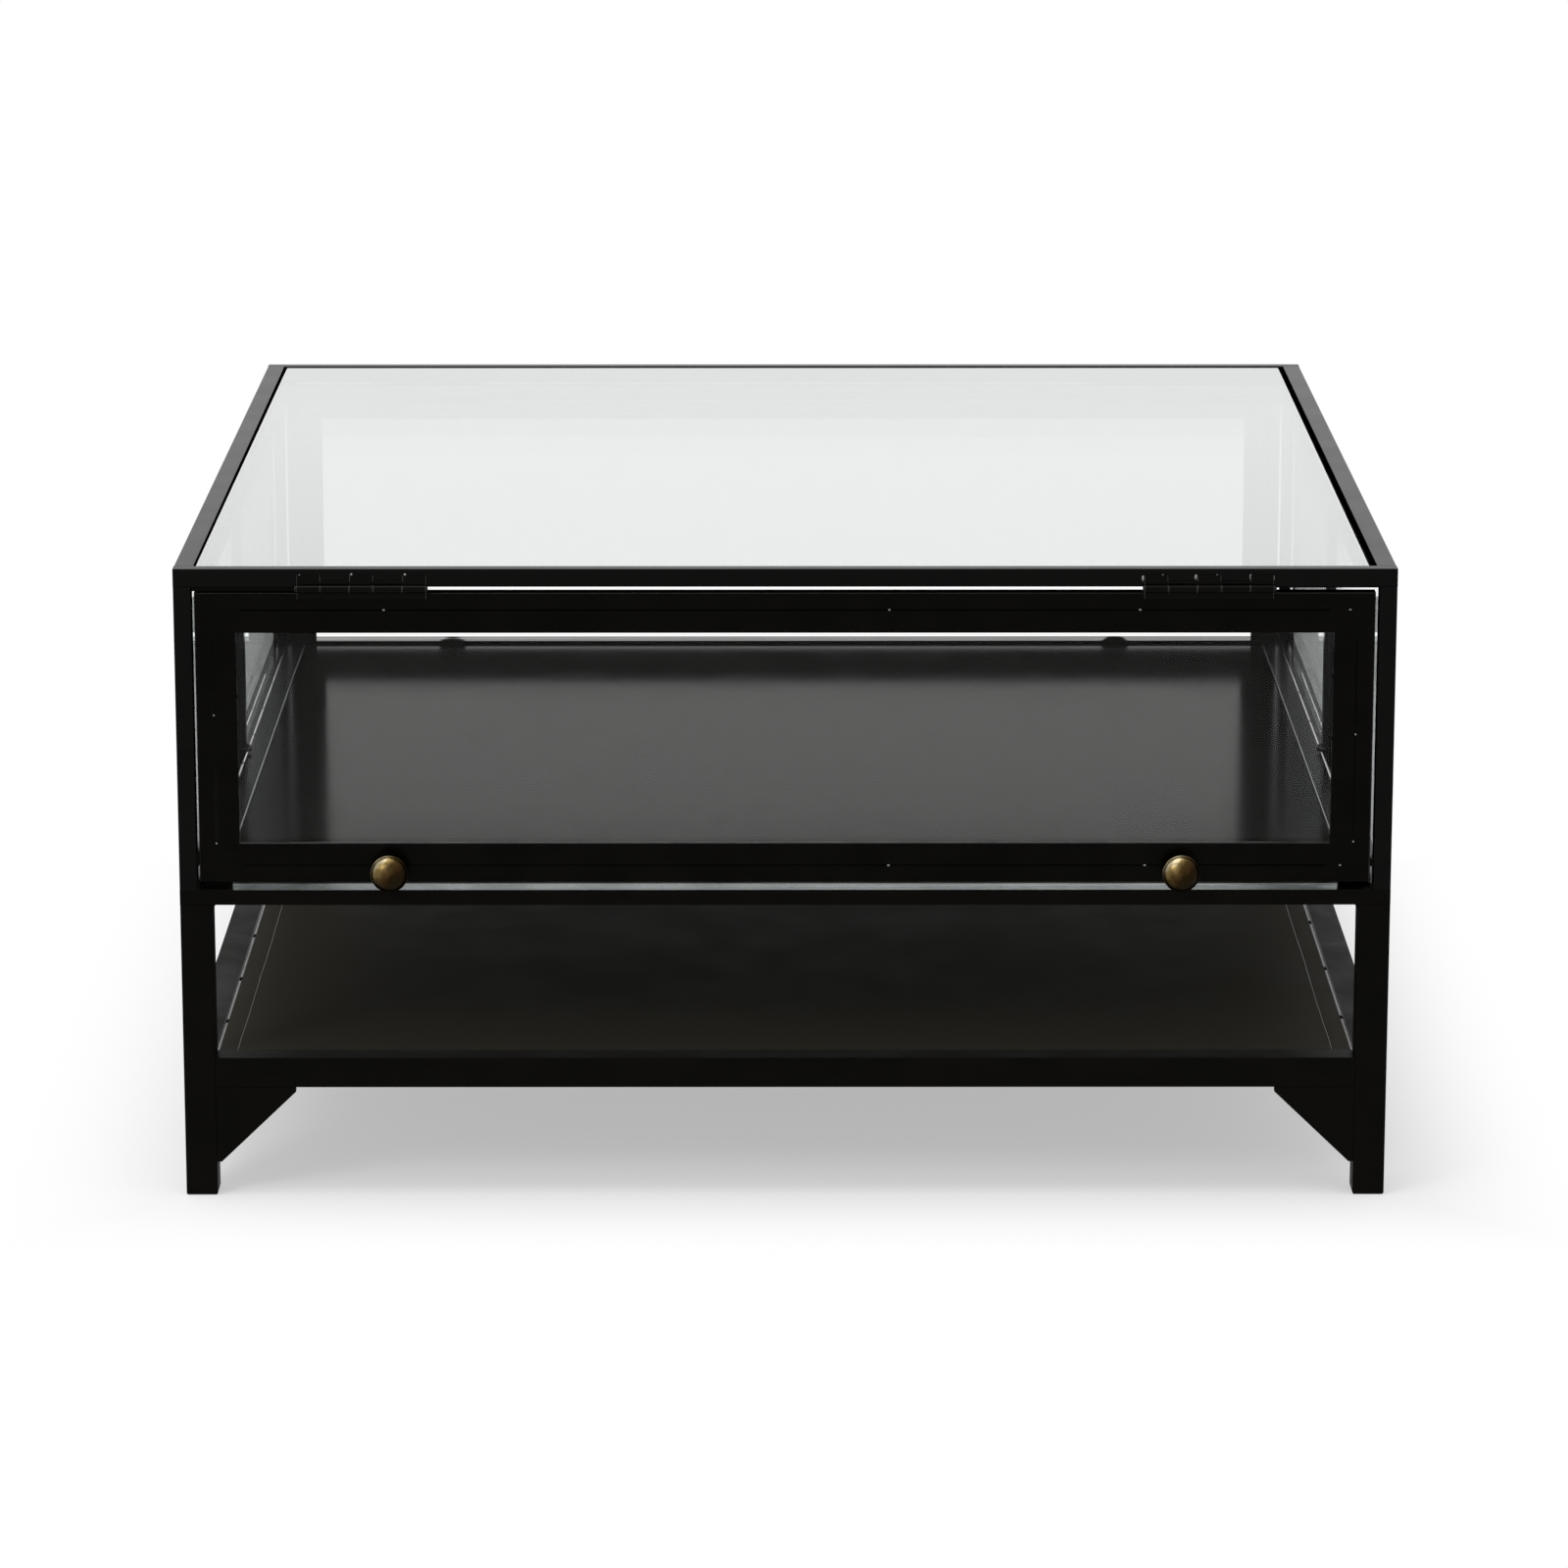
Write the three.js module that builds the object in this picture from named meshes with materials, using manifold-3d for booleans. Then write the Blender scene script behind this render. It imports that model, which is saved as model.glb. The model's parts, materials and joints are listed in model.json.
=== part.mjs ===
// Collectors display table: a square iron and glass display case on four short legs, with a shelf below.
// Millimetres, +Z up. The origin is on the floor under the middle of the table, and the front faces -Y.
import * as THREE from 'three';
import { mergeVertices } from 'three/addons/utils/BufferGeometryUtils.js';
import Module from 'manifold-3d';

const wasm = await Module();
wasm.setup();

// Driving dimensions of the whole table
const tableWidth = 914.4;
const tableDepth = 914.4;
const tableHeight = 487.8;
const deckLevel = 240.7;
const floorClearance = 85.7;

// Legs: square tube, closed at the foot
const legSize = 24;
const legWall = 1.8;
const footPlate = 3;
const footRound = 2.5;

// Lower rails: square tube between the legs
const lowerRailSize = 23.2;
const lowerRailWall = 1.5;

// Gussets: flat plates in the corners under the lower rails
const gussetRun = 61;
const gussetDrop = 59;
const gussetToe = 3.5;
const gussetThickness = 5;

// Middle rails: solid bar, on top of the legs, round the deck
const midRailHeight = 11.8;
const midRailDepth = 20;
const midSideRailWidth = 12.7;

// Posts and top rails: solid bar
const postSize = 13.3;
const topRailHeight = 13.6;
const topRailDepth = 12;
const topSideRailWidth = 14.4;

// Sheets: the deck lies under its side flats, and the shelf lies on its side flats
const sheetThickness = 1.5;
const deckFlatWidth = 16;
const deckFlatThickness = 2.5;
const deckFlatSlit = 1;
const deckTuck = 6;
const shelfFlatWidth = 18;
const shelfFlatThickness = 4;
const shelfFlatSlit = 1.3;
const shelfLap = 3;

// Glass and what beds it
const bedding = 0.2;
const topGlassThickness = 8;
const topGlassRecess = 0.8;
const topGlassSideGap = 3.4;
const topGlassEndGap = 1.6;
const topGlassShift = 1.5;
const topGlassSkew = 1.1;
const ledgeWidth = 12;
const ledgeThickness = 3;
const sideGlassThickness = 4;
const mullionSize = 13;

// Doors, one at the front and one at the back
const doorBar = 13;
const doorFlatWidth = 17.6;
const doorFlatThickness = 5;
const doorSideGap = 2.55;
const doorTopGap = 4.6;
const doorBottomGap = 6.1;
const doorShift = 0.25;
const doorGlassThickness = 4;
const doorGlassPlay = 0.5;
const beadWidth = 8;
const beadPlay = 0.3;
const jointLineWidth = 0.5;
const jointLineDepth = 0.8;
const jointLineStop = 4;

// Stops behind the lower corners of the doors
const stopWidth = 22.5;
const stopHeight = 21;
const stopThickness = 3;
const stopOffset = 3.2;
const stopClearance = 0.3;

// Hinges, two on each door, with five knuckles each
const hingeInset = 140.9;
const hingeLength = 96.5;
const knuckleRadius = 2.9;
const knuckleGap = 0.4;
const fixedKnuckle = 17.5;
const pinRadius = 1.7;
const pinClearance = 0.07;
const pinHeadRadius = 2.3;
const pinHeadLength = 1.2;
const pinAboveDoor = 3.7;
const leafThickness = 1.3;
const leafTabHeight = 10;
const leafStripHeight = 5.4;
const swingLeafHeight = 8.2;
const leafClearance = 0.4;
const axisClearance = 0.3;

// Knobs, two on each door
const knobInset = 159.2;
const knobAboveEdge = 9.7;
const knobRadius = 14.15;
const knobLength = 22;
const knobRim = 1.3;
const knobRimHeight = 12.4;
const knobNeckRadius = 4.6;
const knobNeckHeight = 8.5;
const knobBaseRadius = 6.2;
const knobBaseHeight = 1.6;

const overrun = 1;
const roundSteps = 20;
const knobSteps = 28;
const domeSteps = 8;
const footSteps = 4;

// Levels and half sizes worked out from the values above
const halfWidth = tableWidth / 2;
const halfDepth = tableDepth / 2;
const legHeight = deckLevel - midRailHeight;
const lowerRailTop = floorClearance + lowerRailSize;
const topRailLevel = tableHeight - topRailHeight;
const postHeight = topRailLevel - deckLevel;
const ledgeLevel = tableHeight - topGlassRecess - topGlassThickness - bedding;
const doorWidth = tableWidth - 2 * postSize - 2 * doorSideGap;
const doorBottom = deckLevel + doorBottomGap;
const doorTop = topRailLevel - doorTopGap;
const doorHeight = doorTop - doorBottom;
const pinLevel = doorTop + pinAboveDoor;
const pinReach = knuckleRadius + axisClearance;
const knuckleBore = pinRadius + pinClearance;

const lacquer = { color: 0x121211, roughness: 0.32, metalness: 0.4 };
const sheetLacquer = { color: 0x1a1a18, roughness: 0.3, metalness: 0.4 };
const glass = { color: 0xdfe9e6, roughness: 0.04, metalness: 0, transparent: true, opacity: 0.35 };
const brass = { color: 0x96784a, roughness: 0.35, metalness: 0.9 };
const beadRubber = { color: 0x141414, roughness: 0.7, metalness: 0 };

const table = new THREE.Group();
const sides = [['left', -1], ['right', 1]];
const ends = [['front', -1], ['back', 1]];

function addPiece(name, geometry, finish, x, y, z) {
  const piece = new THREE.Mesh(geometry, new THREE.MeshStandardMaterial(finish));
  piece.name = name;
  piece.position.set(x, y, z);
  table.add(piece);
  return piece;
}

// Solid geometry: boxes, rods along X, and joins and cuts of closed shapes

function box(x, y, z, offsetX = 0, offsetY = 0, offsetZ = 0) {
  return new THREE.BoxGeometry(x, y, z).translate(offsetX, offsetY, offsetZ);
}

function rod(radius, length, offsetX = 0) {
  const rodShape = new THREE.CylinderGeometry(radius, radius, length, roundSteps);
  return rodShape.rotateZ(Math.PI / 2).translate(offsetX, 0, 0);
}

function solidOf(geometry) {
  const bare = geometry.clone();
  bare.deleteAttribute('normal');
  bare.deleteAttribute('uv');
  const merged = mergeVertices(bare);
  const mesh = new wasm.Mesh({
    numProp: 3,
    vertProperties: new Float32Array(merged.attributes.position.array),
    triVerts: new Uint32Array(merged.index.array),
  });
  return new wasm.Manifold(mesh);
}

function geometryOf(solid) {
  const mesh = solid.getMesh();
  const geometry = new THREE.BufferGeometry();
  geometry.setAttribute('position', new THREE.BufferAttribute(mesh.vertProperties, 3));
  geometry.setIndex(new THREE.BufferAttribute(mesh.triVerts, 1));
  const faceted = geometry.toNonIndexed();
  faceted.computeVertexNormals();
  return faceted;
}

function join(geometries) {
  return geometryOf(geometries.map(solidOf).reduce((whole, next) => whole.add(next)));
}

function cut(geometry, tools) {
  return geometryOf(tools.map(solidOf).reduce((whole, next) => whole.subtract(next), solidOf(geometry)));
}

function common(first, second) {
  return geometryOf(solidOf(first).intersect(solidOf(second)));
}

// A flat ring in the XY plane, the middle at the origin
function flatRing(width, depth, band, thickness) {
  const hole = box(width - 2 * band, depth - 2 * band, thickness + 2 * overrun);
  return cut(box(width, depth, thickness), [hole]);
}

// Legs: the foot has its four lower edges rounded, and the tube stays open under the middle rails
function footProfile() {
  const half = legSize / 2;
  const bend = half - footRound;
  const profile = new THREE.Shape();
  profile.moveTo(-half, legHeight);
  profile.lineTo(-half, footRound);
  profile.absarc(-bend, footRound, footRound, Math.PI, 1.5 * Math.PI, false);
  profile.absarc(bend, footRound, footRound, 1.5 * Math.PI, 2 * Math.PI, false);
  profile.lineTo(half, legHeight);
  const wall = new THREE.ExtrudeGeometry(profile, {
    depth: legSize, bevelEnabled: false, curveSegments: footSteps,
  });
  return wall.translate(0, 0, -half).rotateX(Math.PI / 2);
}

function legTube() {
  const outside = common(footProfile(), footProfile().rotateZ(Math.PI / 2));
  const bore = legSize - 2 * legWall;
  const boreHeight = legHeight - footPlate + overrun;
  return cut(outside, [box(bore, bore, boreHeight, 0, 0, footPlate + boreHeight / 2)]);
}

for (const [end, endSign] of ends) {
  for (const [side, sideSign] of sides) {
    const legX = sideSign * (halfWidth - legSize / 2);
    const legY = endSign * (halfDepth - legSize / 2);
    addPiece(`leg_${end}_${side}`, legTube(), lacquer, legX, legY, 0);
  }
}

// Lower rails: tubes butted between the legs, flush with their outer faces
function railTube(lengthX, lengthY) {
  const bore = lowerRailSize - 2 * lowerRailWall;
  const boreX = lengthX > lowerRailSize ? lengthX + 2 * overrun : bore;
  const boreY = lengthY > lowerRailSize ? lengthY + 2 * overrun : bore;
  return cut(box(lengthX, lengthY, lowerRailSize), [box(boreX, boreY, bore)]);
}

const lowerRailCentre = floorClearance + lowerRailSize / 2;
for (const [end, endSign] of ends) {
  const railY = endSign * (halfDepth - lowerRailSize / 2);
  const rail = railTube(tableWidth - 2 * legSize, lowerRailSize);
  addPiece(`lower_rail_${end}`, rail, lacquer, 0, railY, lowerRailCentre);
}
for (const [side, sideSign] of sides) {
  const railX = sideSign * (halfWidth - lowerRailSize / 2);
  const rail = railTube(lowerRailSize, tableDepth - 2 * legSize);
  addPiece(`lower_rail_${side}`, rail, lacquer, railX, 0, lowerRailCentre);
}

// Gussets: the right angle is in the corner of leg and rail, and both sharp ends are squared off
function gussetPlate(runSign) {
  const plate = new THREE.Shape();
  plate.moveTo(0, 0);
  plate.lineTo(runSign * gussetRun, 0);
  plate.lineTo(runSign * gussetRun, -gussetToe);
  plate.lineTo(runSign * gussetToe, -gussetDrop);
  plate.lineTo(0, -gussetDrop);
  plate.closePath();
  const slab = new THREE.ExtrudeGeometry(plate, { depth: gussetThickness, bevelEnabled: false });
  return slab.translate(0, 0, -gussetThickness / 2).rotateX(Math.PI / 2);
}

for (const [end, endSign] of ends) {
  for (const [side, sideSign] of sides) {
    const cornerX = sideSign * (halfWidth - legSize);
    const cornerY = endSign * (halfDepth - legSize);
    const faceX = sideSign * (halfWidth - gussetThickness / 2);
    const faceY = endSign * (halfDepth - gussetThickness / 2);
    addPiece(`gusset_${end}_${side}`, gussetPlate(-sideSign), lacquer, cornerX, faceY, floorClearance);
    const turned = gussetPlate(-endSign).rotateZ(Math.PI / 2);
    addPiece(`gusset_${side}_${end}`, turned, lacquer, faceX, cornerY, floorClearance);
  }
}

// Middle rails: the front and back ones run over the legs and carry the door stops
function midRailWithStops(endSign) {
  const parts = [box(tableWidth, midRailDepth, midRailHeight)];
  const stopY = endSign * (midRailDepth / 2 - doorBar - stopClearance - stopThickness / 2);
  const stopX = halfWidth - postSize - stopOffset - stopWidth / 2;
  const stopLift = (stopHeight + midRailHeight) / 2;
  for (const sideSign of [-1, 1]) {
    const foot = box(stopWidth, stopThickness, stopHeight + overrun, sideSign * stopX, stopY, stopLift - overrun / 2);
    parts.push(foot);
  }
  return join(parts);
}

const midRailCentre = deckLevel - midRailHeight / 2;
for (const [end, endSign] of ends) {
  const railY = endSign * (halfDepth - midRailDepth / 2);
  addPiece(`mid_rail_${end}`, midRailWithStops(endSign), lacquer, 0, railY, midRailCentre);
}
for (const [side, sideSign] of sides) {
  const rail = box(midSideRailWidth, tableDepth - 2 * midRailDepth, midRailHeight);
  const railX = sideSign * (halfWidth - midSideRailWidth / 2);
  addPiece(`mid_rail_${side}`, rail, lacquer, railX, 0, midRailCentre);
}

// Posts, with the front and back top rails across them and the side top rails between those
for (const [end, endSign] of ends) {
  for (const [side, sideSign] of sides) {
    const postX = sideSign * (halfWidth - postSize / 2);
    const postY = endSign * (halfDepth - postSize / 2);
    const post = box(postSize, postSize, postHeight);
    addPiece(`post_${end}_${side}`, post, lacquer, postX, postY, deckLevel + postHeight / 2);
  }
}

const topRailCentre = tableHeight - topRailHeight / 2;
for (const [end, endSign] of ends) {
  const railY = endSign * (halfDepth - topRailDepth / 2);
  addPiece(`top_rail_${end}`, box(tableWidth, topRailDepth, topRailHeight), lacquer, 0, railY, topRailCentre);
}
for (const [side, sideSign] of sides) {
  const rail = box(topSideRailWidth, tableDepth - 2 * topRailDepth, topRailHeight);
  const railX = sideSign * (halfWidth - topSideRailWidth / 2);
  addPiece(`top_rail_${side}`, rail, lacquer, railX, 0, topRailCentre);
}

// Shelf: a sheet flush with the lower rails, lapped on a flat bar along each side
function shelfPanel() {
  const flatReach = halfWidth - lowerRailSize - shelfFlatSlit;
  const sheetReach = flatReach - shelfFlatWidth + shelfLap;
  const bay = tableDepth - 2 * lowerRailSize - 2 * bedding;
  const parts = [box(2 * sheetReach, bay, sheetThickness, 0, 0, -sheetThickness / 2)];
  for (const sideSign of [-1, 1]) {
    const flatX = sideSign * (flatReach - shelfFlatWidth / 2);
    const flatZ = -sheetThickness - shelfFlatThickness / 2;
    parts.push(box(shelfFlatWidth, bay, shelfFlatThickness, flatX, 0, flatZ));
  }
  return join(parts);
}

addPiece('shelf_panel', shelfPanel(), sheetLacquer, 0, 0, lowerRailTop);

// Deck: a sheet let in below the middle rails, under a flat bar along each side
function deckPanel() {
  const flatReach = halfWidth - midSideRailWidth - deckFlatSlit;
  const sheetReach = flatReach - deckTuck;
  const bay = tableDepth - 2 * midRailDepth - 2 * bedding;
  const sheetZ = -deckFlatThickness - sheetThickness / 2;
  const parts = [box(2 * sheetReach, bay, sheetThickness, 0, 0, sheetZ)];
  for (const sideSign of [-1, 1]) {
    const flatX = sideSign * (flatReach - deckFlatWidth / 2);
    parts.push(box(deckFlatWidth, bay, deckFlatThickness, flatX, 0, -deckFlatThickness / 2));
  }
  return join(parts);
}

addPiece('deck_panel', deckPanel(), sheetLacquer, 0, 0, deckLevel);

// Top glass on its ledge: the pane lies a little to the left and a little askew in the frame
const topBayWidth = tableWidth - 2 * topSideRailWidth;
const topBayDepth = tableDepth - 2 * topRailDepth;
const ledge = flatRing(topBayWidth - 2 * bedding, topBayDepth - 2 * bedding, ledgeWidth, ledgeThickness);
addPiece('top_glass_ledge', ledge, lacquer, 0, 0, ledgeLevel - ledgeThickness / 2);

const topGlassWidth = topBayWidth - 2 * topGlassSideGap;
const topGlassDepth = topBayDepth - 2 * topGlassEndGap;
const topGlassCentre = ledgeLevel + bedding + topGlassThickness / 2;
const topGlassPane = box(topGlassWidth, topGlassDepth, topGlassThickness);
const topGlass = addPiece('top_glass', topGlassPane, glass, -topGlassShift, 0, topGlassCentre);
topGlass.rotation.z = -Math.atan2(topGlassSkew, topGlassDepth);

// Sides: a mullion at mid depth, and a pane on each side of it
const paneDepth = halfDepth - postSize - mullionSize / 2 - 2 * bedding;
const paneHeight = postHeight - 2 * bedding;
for (const [side, sideSign] of sides) {
  const mullionX = sideSign * (halfWidth - mullionSize / 2);
  const mullion = box(mullionSize, mullionSize, postHeight);
  addPiece(`mullion_${side}`, mullion, lacquer, mullionX, 0, deckLevel + postHeight / 2);
  const paneX = sideSign * (halfWidth - postSize / 2);
  for (const [end, endSign] of ends) {
    const paneY = endSign * (mullionSize / 2 + bedding + paneDepth / 2);
    const pane = box(sideGlassThickness, paneDepth, paneHeight);
    addPiece(`side_glass_${side}_${end}`, pane, glass, paneX, paneY, deckLevel + bedding + paneHeight / 2);
  }
}

// Door frame: a ring of square bar with a ring of flat bar inside it, flush at the outer face.
// The line where the two bars meet shows between the ground corners. Its outer face is at local Y zero.
function doorFrame(endSign) {
  const depthAt = (near, far) => -endSign * (near + far) / 2;
  const whole = box(doorWidth, doorBar, doorHeight, 0, depthAt(0, doorBar), 0);
  const rebateWidth = doorWidth - 2 * doorBar;
  const rebateHeight = doorHeight - 2 * doorBar;
  const rebateDepth = doorBar - doorFlatThickness + overrun;
  const rebateY = depthAt(doorFlatThickness, doorBar + overrun);
  const rebate = box(rebateWidth, rebateDepth, rebateHeight, 0, rebateY, 0);
  const openingWidth = rebateWidth - 2 * doorFlatWidth;
  const openingHeight = rebateHeight - 2 * doorFlatWidth;
  const openingY = depthAt(-overrun, doorFlatThickness + overrun);
  const opening = box(openingWidth, doorFlatThickness + 2 * overrun, openingHeight, 0, openingY, 0);
  const tools = [rebate, opening];
  const lineDepth = jointLineDepth + overrun;
  const lineY = depthAt(-overrun, jointLineDepth);
  for (const sign of [-1, 1]) {
    const lineZ = sign * (rebateHeight - jointLineWidth) / 2;
    const lineX = sign * (rebateWidth - jointLineWidth) / 2;
    tools.push(box(openingWidth - 2 * jointLineStop, lineDepth, jointLineWidth, 0, lineY, lineZ));
    tools.push(box(jointLineWidth, lineDepth, openingHeight - 2 * jointLineStop, lineX, lineY, 0));
  }
  return cut(whole, tools);
}

// Glazing bead: it holds the pane against the flat bars and ends flush with the back of the door
function doorBead(thickness) {
  const outerWidth = doorWidth - 2 * doorBar - 2 * beadPlay;
  const outerHeight = doorHeight - 2 * doorBar - 2 * beadPlay;
  return flatRing(outerWidth, outerHeight, beadWidth, thickness).rotateX(Math.PI / 2);
}

// Knob: a base, a neck and a shallow dome with a thin rim, turned about the line that stands out of the door
function knob(endSign) {
  const domeHeight = knobLength - knobRimHeight - knobRim;
  const outline = [
    new THREE.Vector2(0, 0),
    new THREE.Vector2(knobBaseRadius, 0),
    new THREE.Vector2(knobBaseRadius, knobBaseHeight),
    new THREE.Vector2(knobNeckRadius, 2 * knobBaseHeight),
    new THREE.Vector2(knobNeckRadius, knobNeckHeight),
    new THREE.Vector2(knobRadius, knobRimHeight),
  ];
  for (let step = 0; step < domeSteps; step += 1) {
    const angle = (step / domeSteps) * Math.PI / 2;
    const height = knobRimHeight + knobRim + domeHeight * Math.sin(angle);
    outline.push(new THREE.Vector2(knobRadius * Math.cos(angle), height));
  }
  outline.push(new THREE.Vector2(0, knobLength));
  return new THREE.LatheGeometry(outline, knobSteps).rotateX((1 - endSign) * Math.PI / 2);
}

// Hinge: the middles and lengths of its five knuckles along the pin, the odd ones fixed to the rail
const swingKnuckle = (hingeLength - 3 * fixedKnuckle - 4 * knuckleGap) / 2;

function knuckles(fixed) {
  const runs = [];
  let start = -hingeLength / 2;
  for (let index = 0; index < 5; index += 1) {
    const isFixed = index % 2 === 0;
    const length = isFixed ? fixedKnuckle : swingKnuckle;
    if (isFixed === fixed) {
      runs.push([start + length / 2, length]);
    }
    start += length + knuckleGap;
  }
  return runs;
}

// A leaf lies on the outer face of the rail (up) or of the door (down), with the pin at the origin. The one
// on the rail is a low strip with a tab above each of its knuckles, and the one on the door is even.
function hingeLeaf(endSign, fixed) {
  const up = fixed ? 1 : -1;
  const plateY = -endSign * (pinReach - leafThickness / 2);
  const plate = (length, near, far, middle) => (
    box(length, leafThickness, far - near, middle, plateY, up * (near + far) / 2)
  );
  const stripFar = fixed ? leafStripHeight : swingLeafHeight;
  const tabFar = fixed ? leafTabHeight : swingLeafHeight;
  const parts = [plate(hingeLength, knuckleRadius + leafClearance, stripFar, 0)];
  for (const [middle, length] of knuckles(fixed)) {
    parts.push(rod(knuckleRadius, length, middle));
    parts.push(plate(length, 0, tabFar, middle));
  }
  return cut(join(parts), [rod(knuckleBore, hingeLength + 2 * overrun)]);
}

function hingePin() {
  const headX = (hingeLength + pinHeadLength) / 2 + knuckleGap / 2;
  const shank = rod(pinRadius, hingeLength + knuckleGap + pinHeadLength);
  return join([shank, rod(pinHeadRadius, pinHeadLength, -headX), rod(pinHeadRadius, pinHeadLength, headX)]);
}

for (const [end, endSign] of ends) {
  const faceY = endSign * halfDepth;
  const doorCentre = (doorTop + doorBottom) / 2;
  addPiece(`door_frame_${end}`, doorFrame(endSign), lacquer, -doorShift, faceY, doorCentre);

  const paneWidth = doorWidth - 2 * doorBar - 2 * doorGlassPlay;
  const panelHeight = doorHeight - 2 * doorBar - 2 * doorGlassPlay;
  const glassNear = doorFlatThickness + bedding;
  const glassY = faceY - endSign * (glassNear + doorGlassThickness / 2);
  const pane = box(paneWidth, doorGlassThickness, panelHeight);
  addPiece(`door_glass_${end}`, pane, glass, -doorShift, glassY, doorCentre);

  const beadNear = glassNear + doorGlassThickness + bedding;
  const beadY = faceY - endSign * (beadNear + doorBar) / 2;
  addPiece(`door_bead_${end}`, doorBead(doorBar - beadNear), beadRubber, -doorShift, beadY, doorCentre);

  for (const [side, sideSign] of sides) {
    const knobX = sideSign * (halfWidth - knobInset);
    addPiece(`knob_${end}_${side}`, knob(endSign), brass, knobX, faceY, doorBottom + knobAboveEdge);
    const hingeX = sideSign * (halfWidth - hingeInset);
    const pinY = faceY + endSign * pinReach;
    addPiece(`fixed_leaf_${end}_${side}`, hingeLeaf(endSign, true), lacquer, hingeX, pinY, pinLevel);
    addPiece(`swing_leaf_${end}_${side}`, hingeLeaf(endSign, false), lacquer, hingeX, pinY, pinLevel);
    addPiece(`hinge_pin_${end}_${side}`, hingePin(), lacquer, hingeX, pinY, pinLevel);
  }
}

export default table;
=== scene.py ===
# %% [markdown]
# This lesson dresses a low display table of black iron and clear glass. Two glazed doors, one at the
# front and one at the back, hang from hinges on the top rails. The measured solids come from the
# frame. They are never moved. The lesson gives them real finishes, and adds what a solid leaves out:
# eased edges, weld metal, pitted brass and the wavering edge of a cut sheet.

import json
import math

import bmesh
import bpy
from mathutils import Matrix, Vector, noise

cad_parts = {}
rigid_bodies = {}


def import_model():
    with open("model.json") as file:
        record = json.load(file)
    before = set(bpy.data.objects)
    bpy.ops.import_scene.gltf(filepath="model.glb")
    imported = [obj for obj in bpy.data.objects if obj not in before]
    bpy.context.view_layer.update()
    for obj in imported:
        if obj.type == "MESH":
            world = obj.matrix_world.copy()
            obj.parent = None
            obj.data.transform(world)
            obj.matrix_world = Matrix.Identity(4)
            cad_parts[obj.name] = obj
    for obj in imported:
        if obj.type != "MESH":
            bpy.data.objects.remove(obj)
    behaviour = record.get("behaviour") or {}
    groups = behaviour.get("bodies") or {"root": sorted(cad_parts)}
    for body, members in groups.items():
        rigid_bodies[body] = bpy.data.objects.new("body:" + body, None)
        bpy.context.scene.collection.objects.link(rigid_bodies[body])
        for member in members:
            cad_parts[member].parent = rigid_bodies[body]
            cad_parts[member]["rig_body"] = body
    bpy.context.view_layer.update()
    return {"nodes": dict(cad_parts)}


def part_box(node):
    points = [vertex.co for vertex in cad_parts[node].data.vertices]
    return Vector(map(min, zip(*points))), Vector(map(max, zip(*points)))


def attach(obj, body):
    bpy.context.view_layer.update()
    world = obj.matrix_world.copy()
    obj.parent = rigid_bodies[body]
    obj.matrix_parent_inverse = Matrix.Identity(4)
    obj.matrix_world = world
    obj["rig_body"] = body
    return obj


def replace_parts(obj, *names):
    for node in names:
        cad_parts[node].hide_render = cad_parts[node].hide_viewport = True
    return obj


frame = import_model()
nodes = frame["nodes"]

# %% [markdown]
# The picture was taken from in front of the table and a little above it, through a long lens. The
# camera here stands at the same distance and height. It is tilted down instead of shifted, so that
# the same camera can also be walked round the table.

# %% Place the camera
MM = 0.001
CAMERA_PLACE = (-7.3 * MM, -5011 * MM, 1412 * MM)
LOOKS_DOWN = 13.45
CAMERA_TILT = math.radians(90 - LOOKS_DOWN)
CAMERA_TURN = math.radians(-0.08)
CAMERA_LENS = 142.96
SENSOR_WIDTH = 36
FARTHEST_SEEN = 200

bpy.ops.object.camera_add(location=CAMERA_PLACE, rotation=(CAMERA_TILT, 0, CAMERA_TURN))
camera = bpy.context.active_object
camera.name = "camera"
camera.data.lens = CAMERA_LENS
camera.data.sensor_width = SENSOR_WIDTH
camera.data.clip_end = FARTHEST_SEEN
bpy.context.scene.camera = camera
bpy.context.scene.view_settings.view_transform = "Standard"
print("camera at", tuple(round(v, 3) for v in camera.location))

# %% [markdown]
# A material is a small sum. A value such as a mask or a noise is wrapped in a class that knows how
# to add, subtract and multiply itself, so that the sum reads like one. Each operator adds one Math
# node behind the scenes. Any other node is made by one method, which takes its settings first and
# then what goes into its sockets.


# %% A class for shader sums
class Value:
    """An output socket that can be used in a sum."""

    def __init__(self, recipe, socket):
        self.recipe = recipe
        self.socket = socket

    def _maths(self, operation, *others):
        return self.recipe.node("ShaderNodeMath", {"operation": operation}, [self, *others])[0]

    def __add__(self, other):
        return self._maths("ADD", other)

    def __mul__(self, other):
        return self._maths("MULTIPLY", other)

    def __sub__(self, other):
        return self._maths("SUBTRACT", other)

    def __rsub__(self, other):
        return self.recipe.node("ShaderNodeMath", {"operation": "SUBTRACT"}, [other, self])[0]

    def __pow__(self, other):
        return self._maths("POWER", other)

    def __abs__(self):
        return self._maths("ABSOLUTE")

    def larger(self, other):
        return self._maths("MAXIMUM", other)

    def smaller(self, other):
        return self._maths("MINIMUM", other)

    __radd__ = __add__
    __rmul__ = __mul__


# %% [markdown]
# A second class stands for one material, or for the sky. Its other methods are short names for the
# nodes that nearly every finish here needs: a colour ramp, a smooth step, a noise and a bump. The
# noise is read at each point's own place on the table, so it runs on from bar to bar.

# %% A class for the nodes of a material
CAMERA_RAY = 0
GLOSSY_RAY = 3
TRANSMISSION_RAY = 6
OBJECT_PLACE = 3
BUMP_STRENGTH = 0.5


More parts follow.
